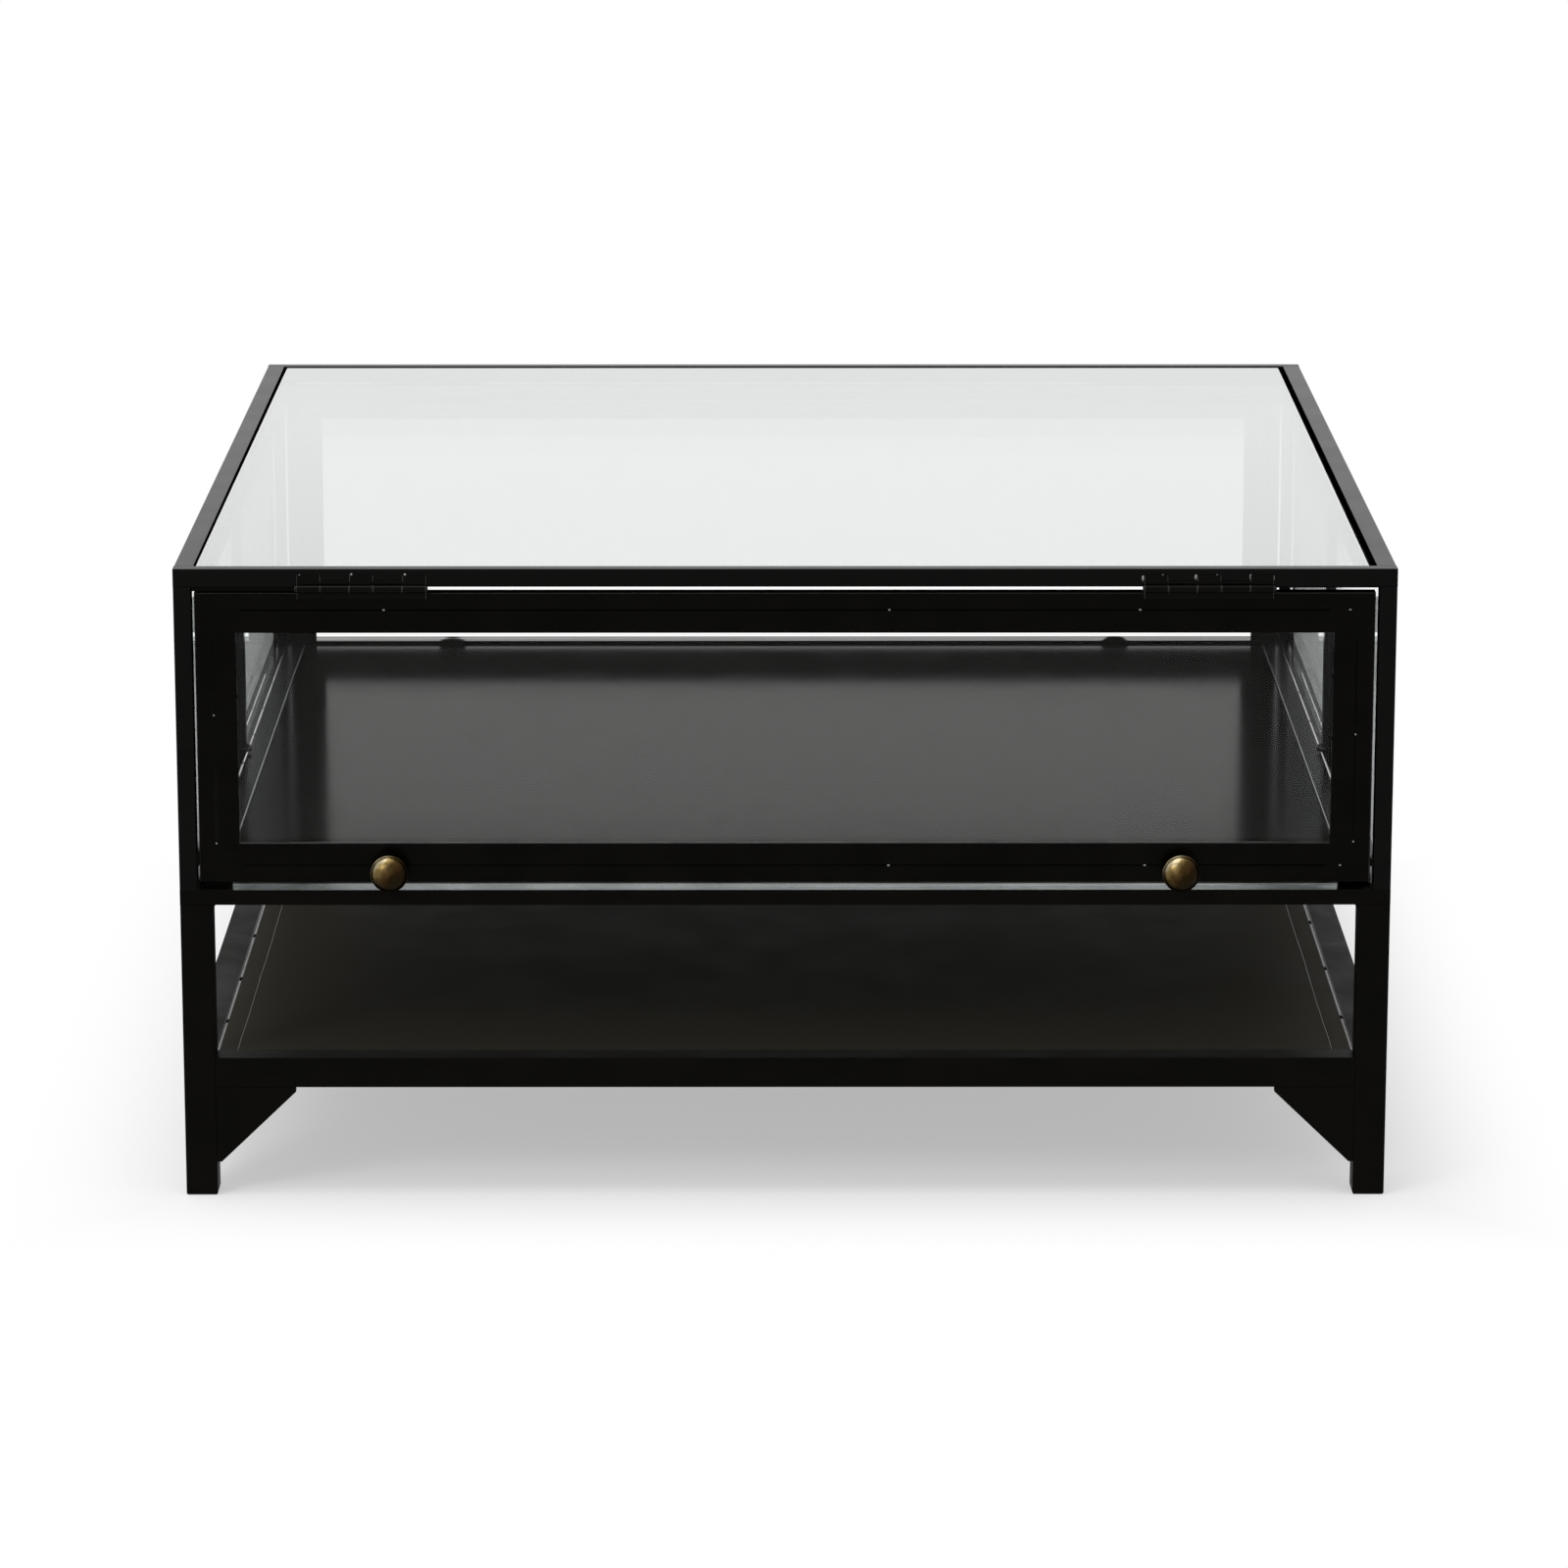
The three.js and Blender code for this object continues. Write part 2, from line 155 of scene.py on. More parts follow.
class Recipe:
    """A material, or the world, whose nodes are added one by one."""

    def __init__(self, owner, output):
        owner.use_nodes = True
        self.owner = owner
        self.tree = owner.node_tree
        self.tree.nodes.clear()
        self.output = self.tree.nodes.new(output)

    def node(self, kind, settings=None, inputs=()):
        """Adds a node and returns its outputs. inputs is a list, or a dictionary by socket name."""
        made = self.tree.nodes.new(kind)
        for key, value in (settings or {}).items():
            if key == "stops":
                self._set_stops(made.color_ramp, value)
            else:
                setattr(made, key, value)
        pairs = inputs.items() if isinstance(inputs, dict) else enumerate(inputs)
        for key, value in pairs:
            self._feed(made.inputs[key], value)
        return [Value(self, socket) for socket in made.outputs]

    def _feed(self, socket, value):
        if isinstance(value, Value):
            self.tree.links.new(value.socket, socket)
        else:
            socket.default_value = value

    def _set_stops(self, ramp, stops):
        while len(ramp.elements) < len(stops):
            ramp.elements.new(0.5)
        for element, (place, colour) in zip(ramp.elements, stops):
            element.position = place
            element.color = (*colour, 1)

    def ramp(self, value, *stops):
        return self.node("ShaderNodeValToRGB", {"stops": stops}, {"Fac": value})[0]

    def between(self, value, low, high, at_low=0.0, at_high=1.0):
        settings = {"interpolation_type": "SMOOTHSTEP", "clamp": True}
        return self.node("ShaderNodeMapRange", settings, [value, low, high, at_low, at_high])[0]

    def place(self):
        return self.node("ShaderNodeTexCoord")[OBJECT_PLACE]

    def stretched(self, scale):
        return self.node("ShaderNodeMapping", {}, {"Vector": self.place(), "Scale": scale})[0]

    def cloud(self, scale, detail=3.0, vector=None, roughness=0.5):
        inputs = {"Vector": vector or self.place(), "Scale": scale, "Detail": detail, "Roughness": roughness}
        return self.node("ShaderNodeTexNoise", {}, inputs)[0]

    def bump(self, height, distance):
        inputs = {"Height": height, "Distance": distance, "Strength": BUMP_STRENGTH}
        return self.node("ShaderNodeBump", {}, inputs)[0]

    def sees_backdrop(self):
        """1 for the camera's own rays, and for rays that a surface mirrored or let through."""
        rays = self.node("ShaderNodeLightPath")
        return rays[CAMERA_RAY].larger(rays[GLOSSY_RAY]).larger(rays[TRANSMISSION_RAY])

    def finish(self, shader):
        self.tree.links.new(shader.socket, self.output.inputs["Surface"])
        return self.owner


def material_recipe(name):
    return Recipe(bpy.data.materials.new(name), "ShaderNodeOutputMaterial")


# %% [markdown]
# The studio is a white floor under an even white sky, with two soft panels. The picture behind the
# table is pure white, and so is what its glass and lacquer mirror. That white is the colour of the sky
# for the camera, for mirrored and for passed rays, and not more light. The floor keeps the soft
# shadow under the table, and turns pure white a hand's width away from it.

# %% Hang the sky
SKY_LIGHT = 0.62
WHITE = (1, 1, 1, 1)

world = bpy.data.worlds.new("studio")
bpy.context.scene.world = world
sky = Recipe(world, "ShaderNodeOutputWorld")
brightness = sky.sees_backdrop() * (1 - SKY_LIGHT) + SKY_LIGHT
sky.finish(sky.node("ShaderNodeBackground", {}, {"Color": WHITE, "Strength": brightness})[0])
print("sky light", SKY_LIGHT)

# %% [markdown]
# Two square lamps stand in for soft panels. The large one above spreads an even light over the
# sheets, and the smaller one at the front left gives the knobs their bright side. Both are wide for
# their distance, so no shadow has a hard edge.

# %% Light the table
TABLE_MIDDLE = Vector((0, 0, 0.25))
PANELS = {
    "panel_above": {"place": (-0.6, -0.4, 3.6), "size": 2.4, "power": 52},
    "panel_front_left": {"place": (-2.6, -3.0, 2.4), "size": 1.2, "power": 34},
}


def soft_panel(name, place, size, power):
    """A square lamp that faces the middle of the table."""
    bpy.ops.object.light_add(type="AREA", location=place)
    lamp = bpy.context.active_object
    lamp.name = name
    lamp.data.size = size
    lamp.data.energy = power
    lamp.rotation_euler = (Vector(place) - TABLE_MIDDLE).to_track_quat("Z", "Y").to_euler()


for name, panel in PANELS.items():
    soft_panel(name, **panel)
print("lamps", list(PANELS))

# %% [markdown]
# The floor mixes a plain white surface, which takes the table's shadow, with a white glow, which
# hides it. The share of the glow grows with the distance from the table's middle, so the shadow is
# kept near the legs and fades before it reaches the edge of the picture.

# %% Lay the floor
FLOOR_REACH = 60
PAPER = (0.9, 0.9, 0.9, 1)
SHADOW_CORE = 0.41
SHADOW_END = 0.62
GLOW_SHARE = 0.45
bpy.ops.mesh.primitive_plane_add(size=FLOOR_REACH)
floor = bpy.context.active_object
floor.name = "floor"
paper = material_recipe("white_paper")
paper_shade = paper.node("ShaderNodeBsdfDiffuse", {}, {"Color": PAPER})[0]
paper_glow = paper.node("ShaderNodeEmission", {}, {"Color": WHITE, "Strength": paper.sees_backdrop()})[0]
across, along, _ = paper.node("ShaderNodeSeparateXYZ", {}, [paper.place()])
from_middle = abs(across).larger(abs(along))
glow_share = paper.between(from_middle, SHADOW_CORE, SHADOW_END, GLOW_SHARE, 1.0)
paper_mix = paper.node("ShaderNodeMixShader", {}, [glow_share, paper_shade, paper_glow])[0]
floor.data.materials.append(paper.finish(paper_mix))
print("shadow ends at", SHADOW_END)

# %% [markdown]
# The iron is brushed with black lacquer. Seen straight on it is nearly black, and at a low angle it
# turns into a dim mirror. Its gloss is never quite even: brush strokes and dust leave it faintly
# cloudy. One function mixes them all. It takes the roughness of the glossy and of the dull patches,
# how much the lacquer gleams, the colours of the dark and of the light patches, the height of its
# waves in millimetres, and 1 for bare metal.

# %% A function for lacquers
CLOUD_SCALE = 22.0
STROKE_SCALE = 160.0
STROKE_STRETCH = (0.2, 0.2, 1.0)
STROKE_SHARE = 0.25
PATCH_SHARES = (0.36, 0.64)
WAVE_SCALE = 45.0
DUST_SCALE = 700.0
DUST_SHARE = 0.05


def lacquer(name, gloss, rough, gleam, dark, light, swell=0.02, bare=0.0):
    """Lacquer in soft patches, a little glossier or duller."""
    recipe = material_recipe(name)
    clouds = recipe.cloud(CLOUD_SCALE, 4.0)
    strokes = recipe.cloud(STROKE_SCALE, 2.0, recipe.stretched(STROKE_STRETCH))
    patches = recipe.between(clouds * (1 - STROKE_SHARE) + strokes * STROKE_SHARE, *PATCH_SHARES)
    waves = recipe.cloud(WAVE_SCALE, 2.0) + recipe.cloud(DUST_SCALE, 1.0) * DUST_SHARE
    inputs = {
        "Base Color": recipe.ramp(patches, (0.0, dark), (1.0, light)),
        "Roughness": patches * (rough - gloss) + gloss,
        "Specular IOR Level": gleam,
        "Metallic": bare,
        "Normal": recipe.bump(waves, swell * MM),
    }
    return recipe.finish(recipe.node("ShaderNodeBsdfPrincipled", {}, inputs)[0])


print("lacquer varies over", round(1 / CLOUD_SCALE, 3), "m")

# %% [markdown]
# The legs and lower rails are duller than the frame above, and the doors are the blackest. Their
# colours are almost nothing, because what shows on a black bar is the room that it mirrors.

# %% Black lacquer on bars
CASE_DARK = (0.0017, 0.0016, 0.0013)
CASE_LIGHT = (0.0036, 0.0034, 0.0028)
LOW_DARK = (0.0018, 0.0016, 0.001)
LOW_LIGHT = (0.0036, 0.0032, 0.0022)
DOOR_DARK = (0.0014, 0.0012, 0.0007)
DOOR_LIGHT = (0.003, 0.0027, 0.0018)
HINGE_DARK = (0.0016, 0.0014, 0.0009)
HINGE_LIGHT = (0.0034, 0.003, 0.002)
TOP_DARK = (0.0023, 0.0021, 0.0017)
TOP_LIGHT = (0.003, 0.0028, 0.0023)
# The matt lacquer is painted shade: nearly black and without gleam, for seams, gaps, hollows and inner sides.
SHADE_PAINT_DARK = (0.0001, 0.0001, 0.0001)
SHADE_PAINT_LIGHT = (0.0003, 0.0003, 0.0002)

case_lacquer = lacquer("case_lacquer", 0.2, 0.3, 0.056, CASE_DARK, CASE_LIGHT, swell=0.01)
low_lacquer = lacquer("low_lacquer", 0.42, 0.52, 0.04, LOW_DARK, LOW_LIGHT)
door_lacquer = lacquer("door_lacquer", 0.24, 0.32, 0.036, DOOR_DARK, DOOR_LIGHT)
hinge_lacquer = lacquer("hinge_lacquer", 0.2, 0.28, 0.05, HINGE_DARK, HINGE_LIGHT, swell=0.01)
top_lacquer = lacquer("top_lacquer", 0.22, 0.25, 0.056, TOP_DARK, TOP_LIGHT, swell=0.004)
shade_painted_lacquer = lacquer("shade_painted_lacquer", 0.7, 0.8, 0.0, SHADE_PAINT_DARK, SHADE_PAINT_LIGHT)
print("black lacquers made")

# %% [markdown]
# These finishes paint highlights. Hands, cloths and the doors themselves polish the edges that they
# touch, and beyond that, from a glossy edge to bare iron, these finishes gleam more and more and are
# painted lighter as painted highlights. The weld metal is painted bright as painted glints.

# %% Painted highlights: worn lacquer and bare metal
EDGE_HIGHLIGHT_DARK = (0.003, 0.003, 0.0028)
EDGE_HIGHLIGHT_LIGHT = (0.006, 0.006, 0.0055)
RUBBED_HIGHLIGHT_DARK = (0.02, 0.02, 0.019)
RUBBED_HIGHLIGHT_LIGHT = (0.03, 0.03, 0.028)
WORN_HIGHLIGHT_DARK = (0.03, 0.03, 0.028)
WORN_HIGHLIGHT_LIGHT = (0.045, 0.045, 0.042)
METAL_HIGHLIGHT_DARK = (0.24, 0.255, 0.26)
METAL_HIGHLIGHT_LIGHT = (0.36, 0.375, 0.38)
WELD_GLINT_DARK = (0.25, 0.25, 0.24)
WELD_GLINT_LIGHT = (0.42, 0.42, 0.4)

edge_highlight_lacquer = lacquer("edge_highlight_lacquer", 0.12, 0.18, 0.22, EDGE_HIGHLIGHT_DARK, EDGE_HIGHLIGHT_LIGHT, swell=0.003)
rubbed_highlight_lacquer = lacquer("rubbed_highlight_lacquer", 0.28, 0.36, 1.0, RUBBED_HIGHLIGHT_DARK, RUBBED_HIGHLIGHT_LIGHT, swell=0.008)
worn_highlight_lacquer = lacquer("worn_highlight_lacquer", 0.14, 0.2, 1.0, WORN_HIGHLIGHT_DARK, WORN_HIGHLIGHT_LIGHT, swell=0.002)
bare_metal_highlight = lacquer("bare_metal_highlight", 0.2, 0.26, 1.0, METAL_HIGHLIGHT_DARK, METAL_HIGHLIGHT_LIGHT, swell=0.004, bare=1.0)
weld_painted_glint = lacquer("weld_painted_glint", 0.2, 0.3, 1.0, WELD_GLINT_DARK, WELD_GLINT_LIGHT)
print("worn finishes made")

# %% [markdown]
# The deck and the shelf are sheet iron under the same lacquer, laid down flat, so it has run out
# smoother. The deck mirrors the opening of the back door with soft edges. The shelf is duller.

# %% Lacquer on the sheets
DECK_DARK = (0.0048, 0.0047, 0.0041)
DECK_LIGHT = (0.006, 0.0058, 0.0051)
SHELF_DARK = (0.0272, 0.0243, 0.0162)
SHELF_LIGHT = (0.0332, 0.0297, 0.02)
FLAT_DARK = (0.005, 0.005, 0.0046)
FLAT_LIGHT = (0.008, 0.0078, 0.0072)

deck_lacquer = lacquer("deck_lacquer", 0.12, 0.15, 0.0222, DECK_DARK, DECK_LIGHT, swell=0.001)
shelf_lacquer = lacquer("shelf_lacquer", 0.46, 0.52, 0.0152, SHELF_DARK, SHELF_LIGHT, swell=0.01)
flat_lacquer = lacquer("flat_lacquer", 0.2, 0.26, 0.075, FLAT_DARK, FLAT_LIGHT, swell=0.002)
print("sheet lacquers made")

# %% [markdown]
# Clear glass shows what is behind it and, at a low angle, what it faces. Mixing a see-through shader
# with a mirror does this without bending light, so the case stays bright inside. How much is
# mirrored grows with the fifth power of how far the pane is turned away, as it does on real glass.
# The top pane is thick and is seen at a low angle, where it turns nearly white.

# %% Glass
ANGLE_POWER = 5.0
MOST_MIRRORED_SHARE = 0.96
POLISH = 0.02
MIRROR_TINT = (0.97, 0.98, 0.98, 1)


def pane_glass(name, tint, faced, mirror_share):
    """Glass that mirrors a share of what it faces straight on, and more at a low angle."""
    recipe = material_recipe(name)
    facing = recipe.node("ShaderNodeLayerWeight", {}, {"Blend": 0.5})[1]
    share = (facing**ANGLE_POWER * mirror_share + faced).smaller(MOST_MIRRORED_SHARE)
    through = recipe.node("ShaderNodeBsdfTransparent", {}, {"Color": (*tint, 1)})[0]
    mirror = recipe.node("ShaderNodeBsdfGlossy", {}, {"Color": MIRROR_TINT, "Roughness": POLISH})[0]
    return recipe.finish(recipe.node("ShaderNodeMixShader", {}, [share, through, mirror])[0])


door_glass = pane_glass("door_glass", (0.98, 0.983, 0.977), 0.004, 1.0)
side_glass = pane_glass("side_glass", (0.955, 0.975, 0.967), 0.006, 0.9)
top_glass = pane_glass("top_glass", (0.8, 0.815, 0.815), 0.01, 1.9)
print("glass made")

# %% [markdown]
# The knobs are antique brass. Their light and shade are painted into the brass colour: the upper left
# side is painted bright as a painted highlight, the middle brown, and the right side and the underside
# nearly black as painted shade. The direction that a face looks in drives a ramp of brass tones from
# painted shade to painted highlight, and a noise of tarnish makes the border between them uneven, as it
# is on old metal.

# %% Antique brass
SURFACE_NORMAL = 1
TARNISH_SCALE = 150.0
PIT_SCALE = 900.0
PIT_DEPTH = 0.02 * MM
LIT_FROM_ABOVE_SHARE = 0.52
LIT_FROM_LEFT_SHARE = 0.54
TARNISH_SHARE = 0.55
MOST_SHADED = -0.5
MOST_LIT = 0.6
BRASS_ROUGHNESS = 0.355
SMOOTHER_ABOVE = 0.06
# Brass tones from painted shade at the low end to a painted highlight at the high end.
BRASS_SHADE_TO_HIGHLIGHT_TONES = (
    (0.0, (0.019, 0.0125, 0.0045)),
    (0.13, (0.013, 0.0085, 0.0033)),
    (0.3, (0.017, 0.0098, 0.0036)),
    (0.46, (0.036, 0.0205, 0.0072)),
    (0.62, (0.056, 0.034, 0.0117)),
    (0.82, (0.19, 0.131, 0.049)),
    (0.96, (0.55, 0.46, 0.29)),
)

brass_recipe = material_recipe("antique_brass")
facing = brass_recipe.node("ShaderNodeTexCoord")[SURFACE_NORMAL]
facing_across, _, facing_up = brass_recipe.node("ShaderNodeSeparateXYZ", {}, [facing])
tarnish = brass_recipe.cloud(TARNISH_SCALE, 5.0, roughness=0.62)
pits = brass_recipe.cloud(PIT_SCALE, 2.0)
# Light from the upper left is painted in by the facing direction, and real tarnish is added by the noise.
light_and_tarnish_sum = facing_up * LIT_FROM_ABOVE_SHARE - facing_across * LIT_FROM_LEFT_SHARE + (0.5 - tarnish) * TARNISH_SHARE
span = [light_and_tarnish_sum, MOST_SHADED, MOST_LIT, 0.0, 1.0]
painted_light_and_wear = brass_recipe.node("ShaderNodeMapRange", {"clamp": True}, span)[0]
brass_colour = brass_recipe.ramp(painted_light_and_wear, *BRASS_SHADE_TO_HIGHLIGHT_TONES)
brass_inputs = {
    "Base Color": brass_colour,
    "Metallic": 1.0,
    "Roughness": BRASS_ROUGHNESS - facing_up * SMOOTHER_ABOVE,
    "Normal": brass_recipe.bump(pits, PIT_DEPTH),
}
antique_brass = brass_recipe.finish(brass_recipe.node("ShaderNodeBsdfPrincipled", {}, brass_inputs)[0])
print("brass made")

# %% [markdown]
# The glazing bead behind each door pane is dull black rubber. It hardly shows, so a faint noise
# between two dark greys is enough.

# %% Bead rubber
RUBBER_SCALE = 300.0
RUBBER_DARK = (0.3, (0.008, 0.008, 0.008))
RUBBER_LIGHT = (0.7, (0.014, 0.014, 0.014))

rubber_recipe = material_recipe("bead_rubber")
rubber_inputs = {
    "Base Color": rubber_recipe.ramp(rubber_recipe.cloud(RUBBER_SCALE), RUBBER_DARK, RUBBER_LIGHT),
    "Roughness": 0.6,
    "Specular IOR Level": 0.15,
}
bead_rubber = rubber_recipe.finish(rubber_recipe.node("ShaderNodeBsdfPrincipled", {}, rubber_inputs)[0])
print("rubber made")

# %% [markdown]
# Now the bars. A solid has knife-sharp edges, and real bar stock doesn't: its long edges are rolled to
# a small round, which catches a line of light. Each bar is copied, its loose triangles are merged,
# its long edges are bevelled, and the copy then stands for the solid. The ends stay square, because
# there the bars are welded and ground flush.


# %% Helpers for working on a mesh
SMOOTH_ANGLE = 35
ROUND_STEPS = 3
ROUND_PROFILE = 0.5


def deselect_all():
    bpy.ops.object.select_all(action="DESELECT")


def open_mesh(piece):
    """Goes into edit mode on one piece, with nothing selected."""
    deselect_all()
    piece.select_set(True)
    bpy.context.view_layer.objects.active = piece
    bpy.ops.object.mode_set(mode="EDIT")
    bpy.ops.mesh.select_mode(type="VERT")
    bpy.ops.mesh.select_all(action="DESELECT")


def choose(piece, kind, test):
    """Selects the vertices, edges or faces that pass a test, in edit mode."""
    modes = {"verts": "VERT", "edges": "EDGE", "faces": "FACE"}
    bpy.ops.mesh.select_mode(type=modes[kind])
    bpy.ops.mesh.select_all(action="DESELECT")
    mesh = bmesh.from_edit_mesh(piece.data)
    for element in getattr(mesh, kind):
        element.select = test(element)
    mesh.select_flush_mode()
    bmesh.update_edit_mesh(piece.data)


def round_edges(reach, steps=ROUND_STEPS):
    """Bevels the selected edges into a round, in edit mode."""
    shape = {"segments": steps, "profile": ROUND_PROFILE, "affect": "EDGES"}
    bpy.ops.mesh.bevel(offset=reach, offset_type="OFFSET", **shape)


def close_mesh(piece, smooth_angle=SMOOTH_ANGLE):
    """Leaves edit mode and shades the piece so that its large faces stay flat between smooth rounds."""
    bpy.ops.mesh.select_all(action="SELECT")
    bpy.ops.mesh.normals_make_consistent(inside=False)
    bpy.ops.object.mode_set(mode="OBJECT")
    bpy.ops.object.shade_smooth_by_angle(angle=math.radians(smooth_angle))
    evening = piece.modifiers.new("even_faces", "WEIGHTED_NORMAL")
    evening.keep_sharp = True
    bpy.ops.object.modifier_apply(modifier=evening.name)
    deselect_all()
    return piece


# %% [markdown]
# A finished piece keeps its object at the origin and its place in its mesh, as the solids do, so that
# a noise on it stays where it is. Dressing a piece gives it its material and says which body carries
# it. A bar starts as a merged copy of its own solid, because a solid comes as loose triangles, which
# can't be bevelled.

# %% Helpers for placing and dressing a piece
MERGE_REACH = 0.01 * MM
FLAT_ANGLE = 0.5


def settle(piece):
    """Leaves a piece's object at the origin, with its place in its mesh."""
    deselect_all()
    piece.select_set(True)
    bpy.context.view_layer.objects.active = piece
    bpy.ops.object.transform_apply(location=True, rotation=True, scale=True)
    return piece


def dress(piece, material, body):
    piece.data.materials.clear()
    piece.data.materials.append(material)
    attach(piece, body)
    return piece


def merged_copy(node, name):
    """A copy of a solid, with its loose triangles merged into whole faces."""
    piece = bpy.data.objects.new(name, nodes[node].data.copy())
    bpy.context.scene.collection.objects.link(piece)
    open_mesh(piece)
    bpy.ops.mesh.select_all(action="SELECT")
    bpy.ops.mesh.remove_doubles(threshold=MERGE_REACH)
    bpy.ops.mesh.dissolve_limited(angle_limit=math.radians(FLAT_ANGLE))
    return piece


def body_of_node(node):
    return nodes[node]["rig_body"]


# %% [markdown]
# An edge is eased when it runs along its bar, turns outwards and isn't one of the short edges at the
# bar's end. The test looks at where each edge goes, not at its number, so it holds for every bar.

# %% Helpers for easing edges
BAR_ROUND = 0.7 * MM
SHORTEST_EASED = 30 * MM
STRAIGHT_SHARE = 0.99
SHARP_ANGLE = 0.5


def long_axis(node):
    low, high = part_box(node)
    return max(range(3), key=lambda axis: high[axis] - low[axis])


def runs_along(edge, axes):
    """True for an outward edge that runs along one of the axes and isn't a short end edge."""
    run = edge.verts[1].co - edge.verts[0].co
    if run.length < SHORTEST_EASED or len(edge.link_faces) != 2:
        return False
    straight = any(abs(run[axis]) > STRAIGHT_SHARE * run.length for axis in axes)
    return straight and edge.is_convex and edge.calc_face_angle(0) > SHARP_ANGLE


def eased_copy(node, material, is_eased, rounding=BAR_ROUND):
    """A copy of a solid with some of its edges rounded, which then stands for it."""
    piece = merged_copy(node, node + "_eased")
    choose(piece, "edges", is_eased)
    round_edges(rounding)
    close_mesh(piece)
    dress(piece, material, body_of_node(node))
    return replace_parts(piece, node)


print("bars are rounded by", BAR_ROUND, "m")

# %% Ease the long edges of the bars
ends = ("front", "back")
sides = ("left", "right")
walls = ends + sides
corners = [(end, side) for end in ends for side in sides]
low_bars = [f"leg_{end}_{side}" for end, side in corners] + [f"lower_rail_{wall}" for wall in walls]
low_bars += [f"mid_rail_{wall}" for wall in walls]
case_bars = [f"post_{end}_{side}" for end, side in corners] + ["mullion_left", "mullion_right"]
top_bars = [f"top_rail_{wall}" for wall in walls]


def eased_bars(bars, material):
    for bar in bars:
        axis = long_axis(bar)
        piece = eased_copy(bar, material, lambda edge: runs_along(edge, [axis]))
        print(piece.name, len(piece.data.polygons), "faces")


eased_bars(low_bars, low_lacquer)
eased_bars(case_bars, case_lacquer)
eased_bars(top_bars, top_lacquer)

# %% [markdown]
# The faces of one bar don't all shine alike. Where a top rail or a post takes the glass, its side is
# painted dull black as painted shade. The inner sides of the lower and middle rails are painted
# glossier and lighter, a painted highlight that draws a thin line of light beside the sheets. A second
# material on chosen faces shows this. A face is chosen by its normal.

# %% Paint shade and highlights on the inner sides
UPWARD_SHARE = 0.9
SQUARE_ON_SHARE = 0.95
UNTURNED_SHARE = 0.985
STANDING_SHARE = 0.5
LEANING_SHARE = 0.2


def paint_faces(piece, material, test):
    """Gives the faces that pass a test a second material."""
    piece.data.materials.append(material)
    slot_number = len(piece.data.materials) - 1
    chosen = [face for face in piece.data.polygons if test(face)]
    for face in chosen:
        face.material_index = slot_number
    return len(chosen)


def eased(bar):
    return bpy.data.objects[bar + "_eased"]


def faces_up(face):
    return face.normal.z > UPWARD_SHARE


def is_turned(face):
    """True for a face of a rounded edge, which looks along none of the axes."""
    return max(abs(part) for part in face.normal) < UNTURNED_SHARE


for side, inward in (("left", 1), ("right", -1)):
    for bar in (f"top_rail_{side}", f"post_front_{side}", f"post_back_{side}"):
        paint_faces(eased(bar), shade_painted_lacquer, lambda face: inward * face.normal.x > SQUARE_ON_SHARE)
    for bar, shine in ((f"lower_rail_{side}", edge_highlight_lacquer), (f"mid_rail_{side}", worn_highlight_lacquer)):
        paint_faces(eased(bar), shine, lambda face: inward * face.normal.x > LEANING_SHARE)
    print("inner sides on the", side, "painted")

# %% [markdown]
# The tops of the middle rails are where the doors close and hands rest to lift them. They are rubbed
# by use, and their tops are also painted glossier and lighter as a painted highlight in the gap under
# each door, the front one with a bare-metal look, while their inner edges are painted dull black as
# painted shade. The standing faces of the mullions get a slight painted sheen.

# %% Paint highlights on the tops of the middle rails
TOP_SHINES = {"front": bare_metal_highlight, "back": edge_highlight_lacquer, "left": edge_highlight_lacquer, "right": edge_highlight_lacquer}


def is_inner_edge(face, inward):
    """True for a face of the rounded edge at the inner top of a front or back rail."""
    return is_turned(face) and min(face.normal.z, inward * face.normal.y) > LEANING_SHARE


for end, inward in (("front", 1), ("back", -1)):
    paint_faces(eased("mid_rail_" + end), shade_painted_lacquer, lambda face: is_inner_edge(face, inward))
for wall, shine in TOP_SHINES.items():
    paint_faces(eased("mid_rail_" + wall), shine, faces_up)
for side in sides:
    paint_faces(eased("mullion_" + side), edge_highlight_lacquer, lambda face: abs(face.normal.z) < STANDING_SHARE)
print("painted_light_and_wear", len(TOP_SHINES), "rails")

# %% [markdown]
# A gusset is a plate cut from thicker stock and welded into the corner of leg and rail, flush with
# both. All its edges are eased a little, so a fine seam shows where it meets the leg.

# %% Ease the gussets
PLATE_ROUND = 0.15 * MM
SHORTEST_CUT = 2 * MM
gussets = [f"gusset_{end}_{side}" for end, side in corners]
gussets += [f"gusset_{side}_{end}" for end, side in corners]


def is_plate_edge(edge):
    return edge.calc_length() > SHORTEST_CUT


for gusset in gussets:
    eased_copy(gusset, low_lacquer, is_plate_edge, PLATE_ROUND)
print("eased", len(gussets), "gussets")

# %% [markdown]
# Each door is a square bar bent round a flat one, with the glass held behind the flat. The seam
# between bar and flat was ground but not filled: both bars' rolled edges show in it, one dark and
# one catching the light. The seam is found again on the merged copy by its place, 13 mm inside the
# door's edge.

# %% Find the seam of a door frame
DOOR_BAR = 13 * MM
SEAM_REACH = 0.6 * MM
SEAM_ROUND = 0.35 * MM
SEAM_STEPS = 2


def seam_box(node):
    """The lowest and highest corner of the seam between the bar and the flat of a door frame."""
    low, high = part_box(node)
    step = Vector((DOOR_BAR, 0, DOOR_BAR))
    return low + step, high - step


def on_the_seam(edge, low, high):
    middle = (edge.verts[0].co + edge.verts[1].co) / 2
    return any(abs(middle[axis] - side[axis]) < SEAM_REACH for axis in (0, 2) for side in (low, high))


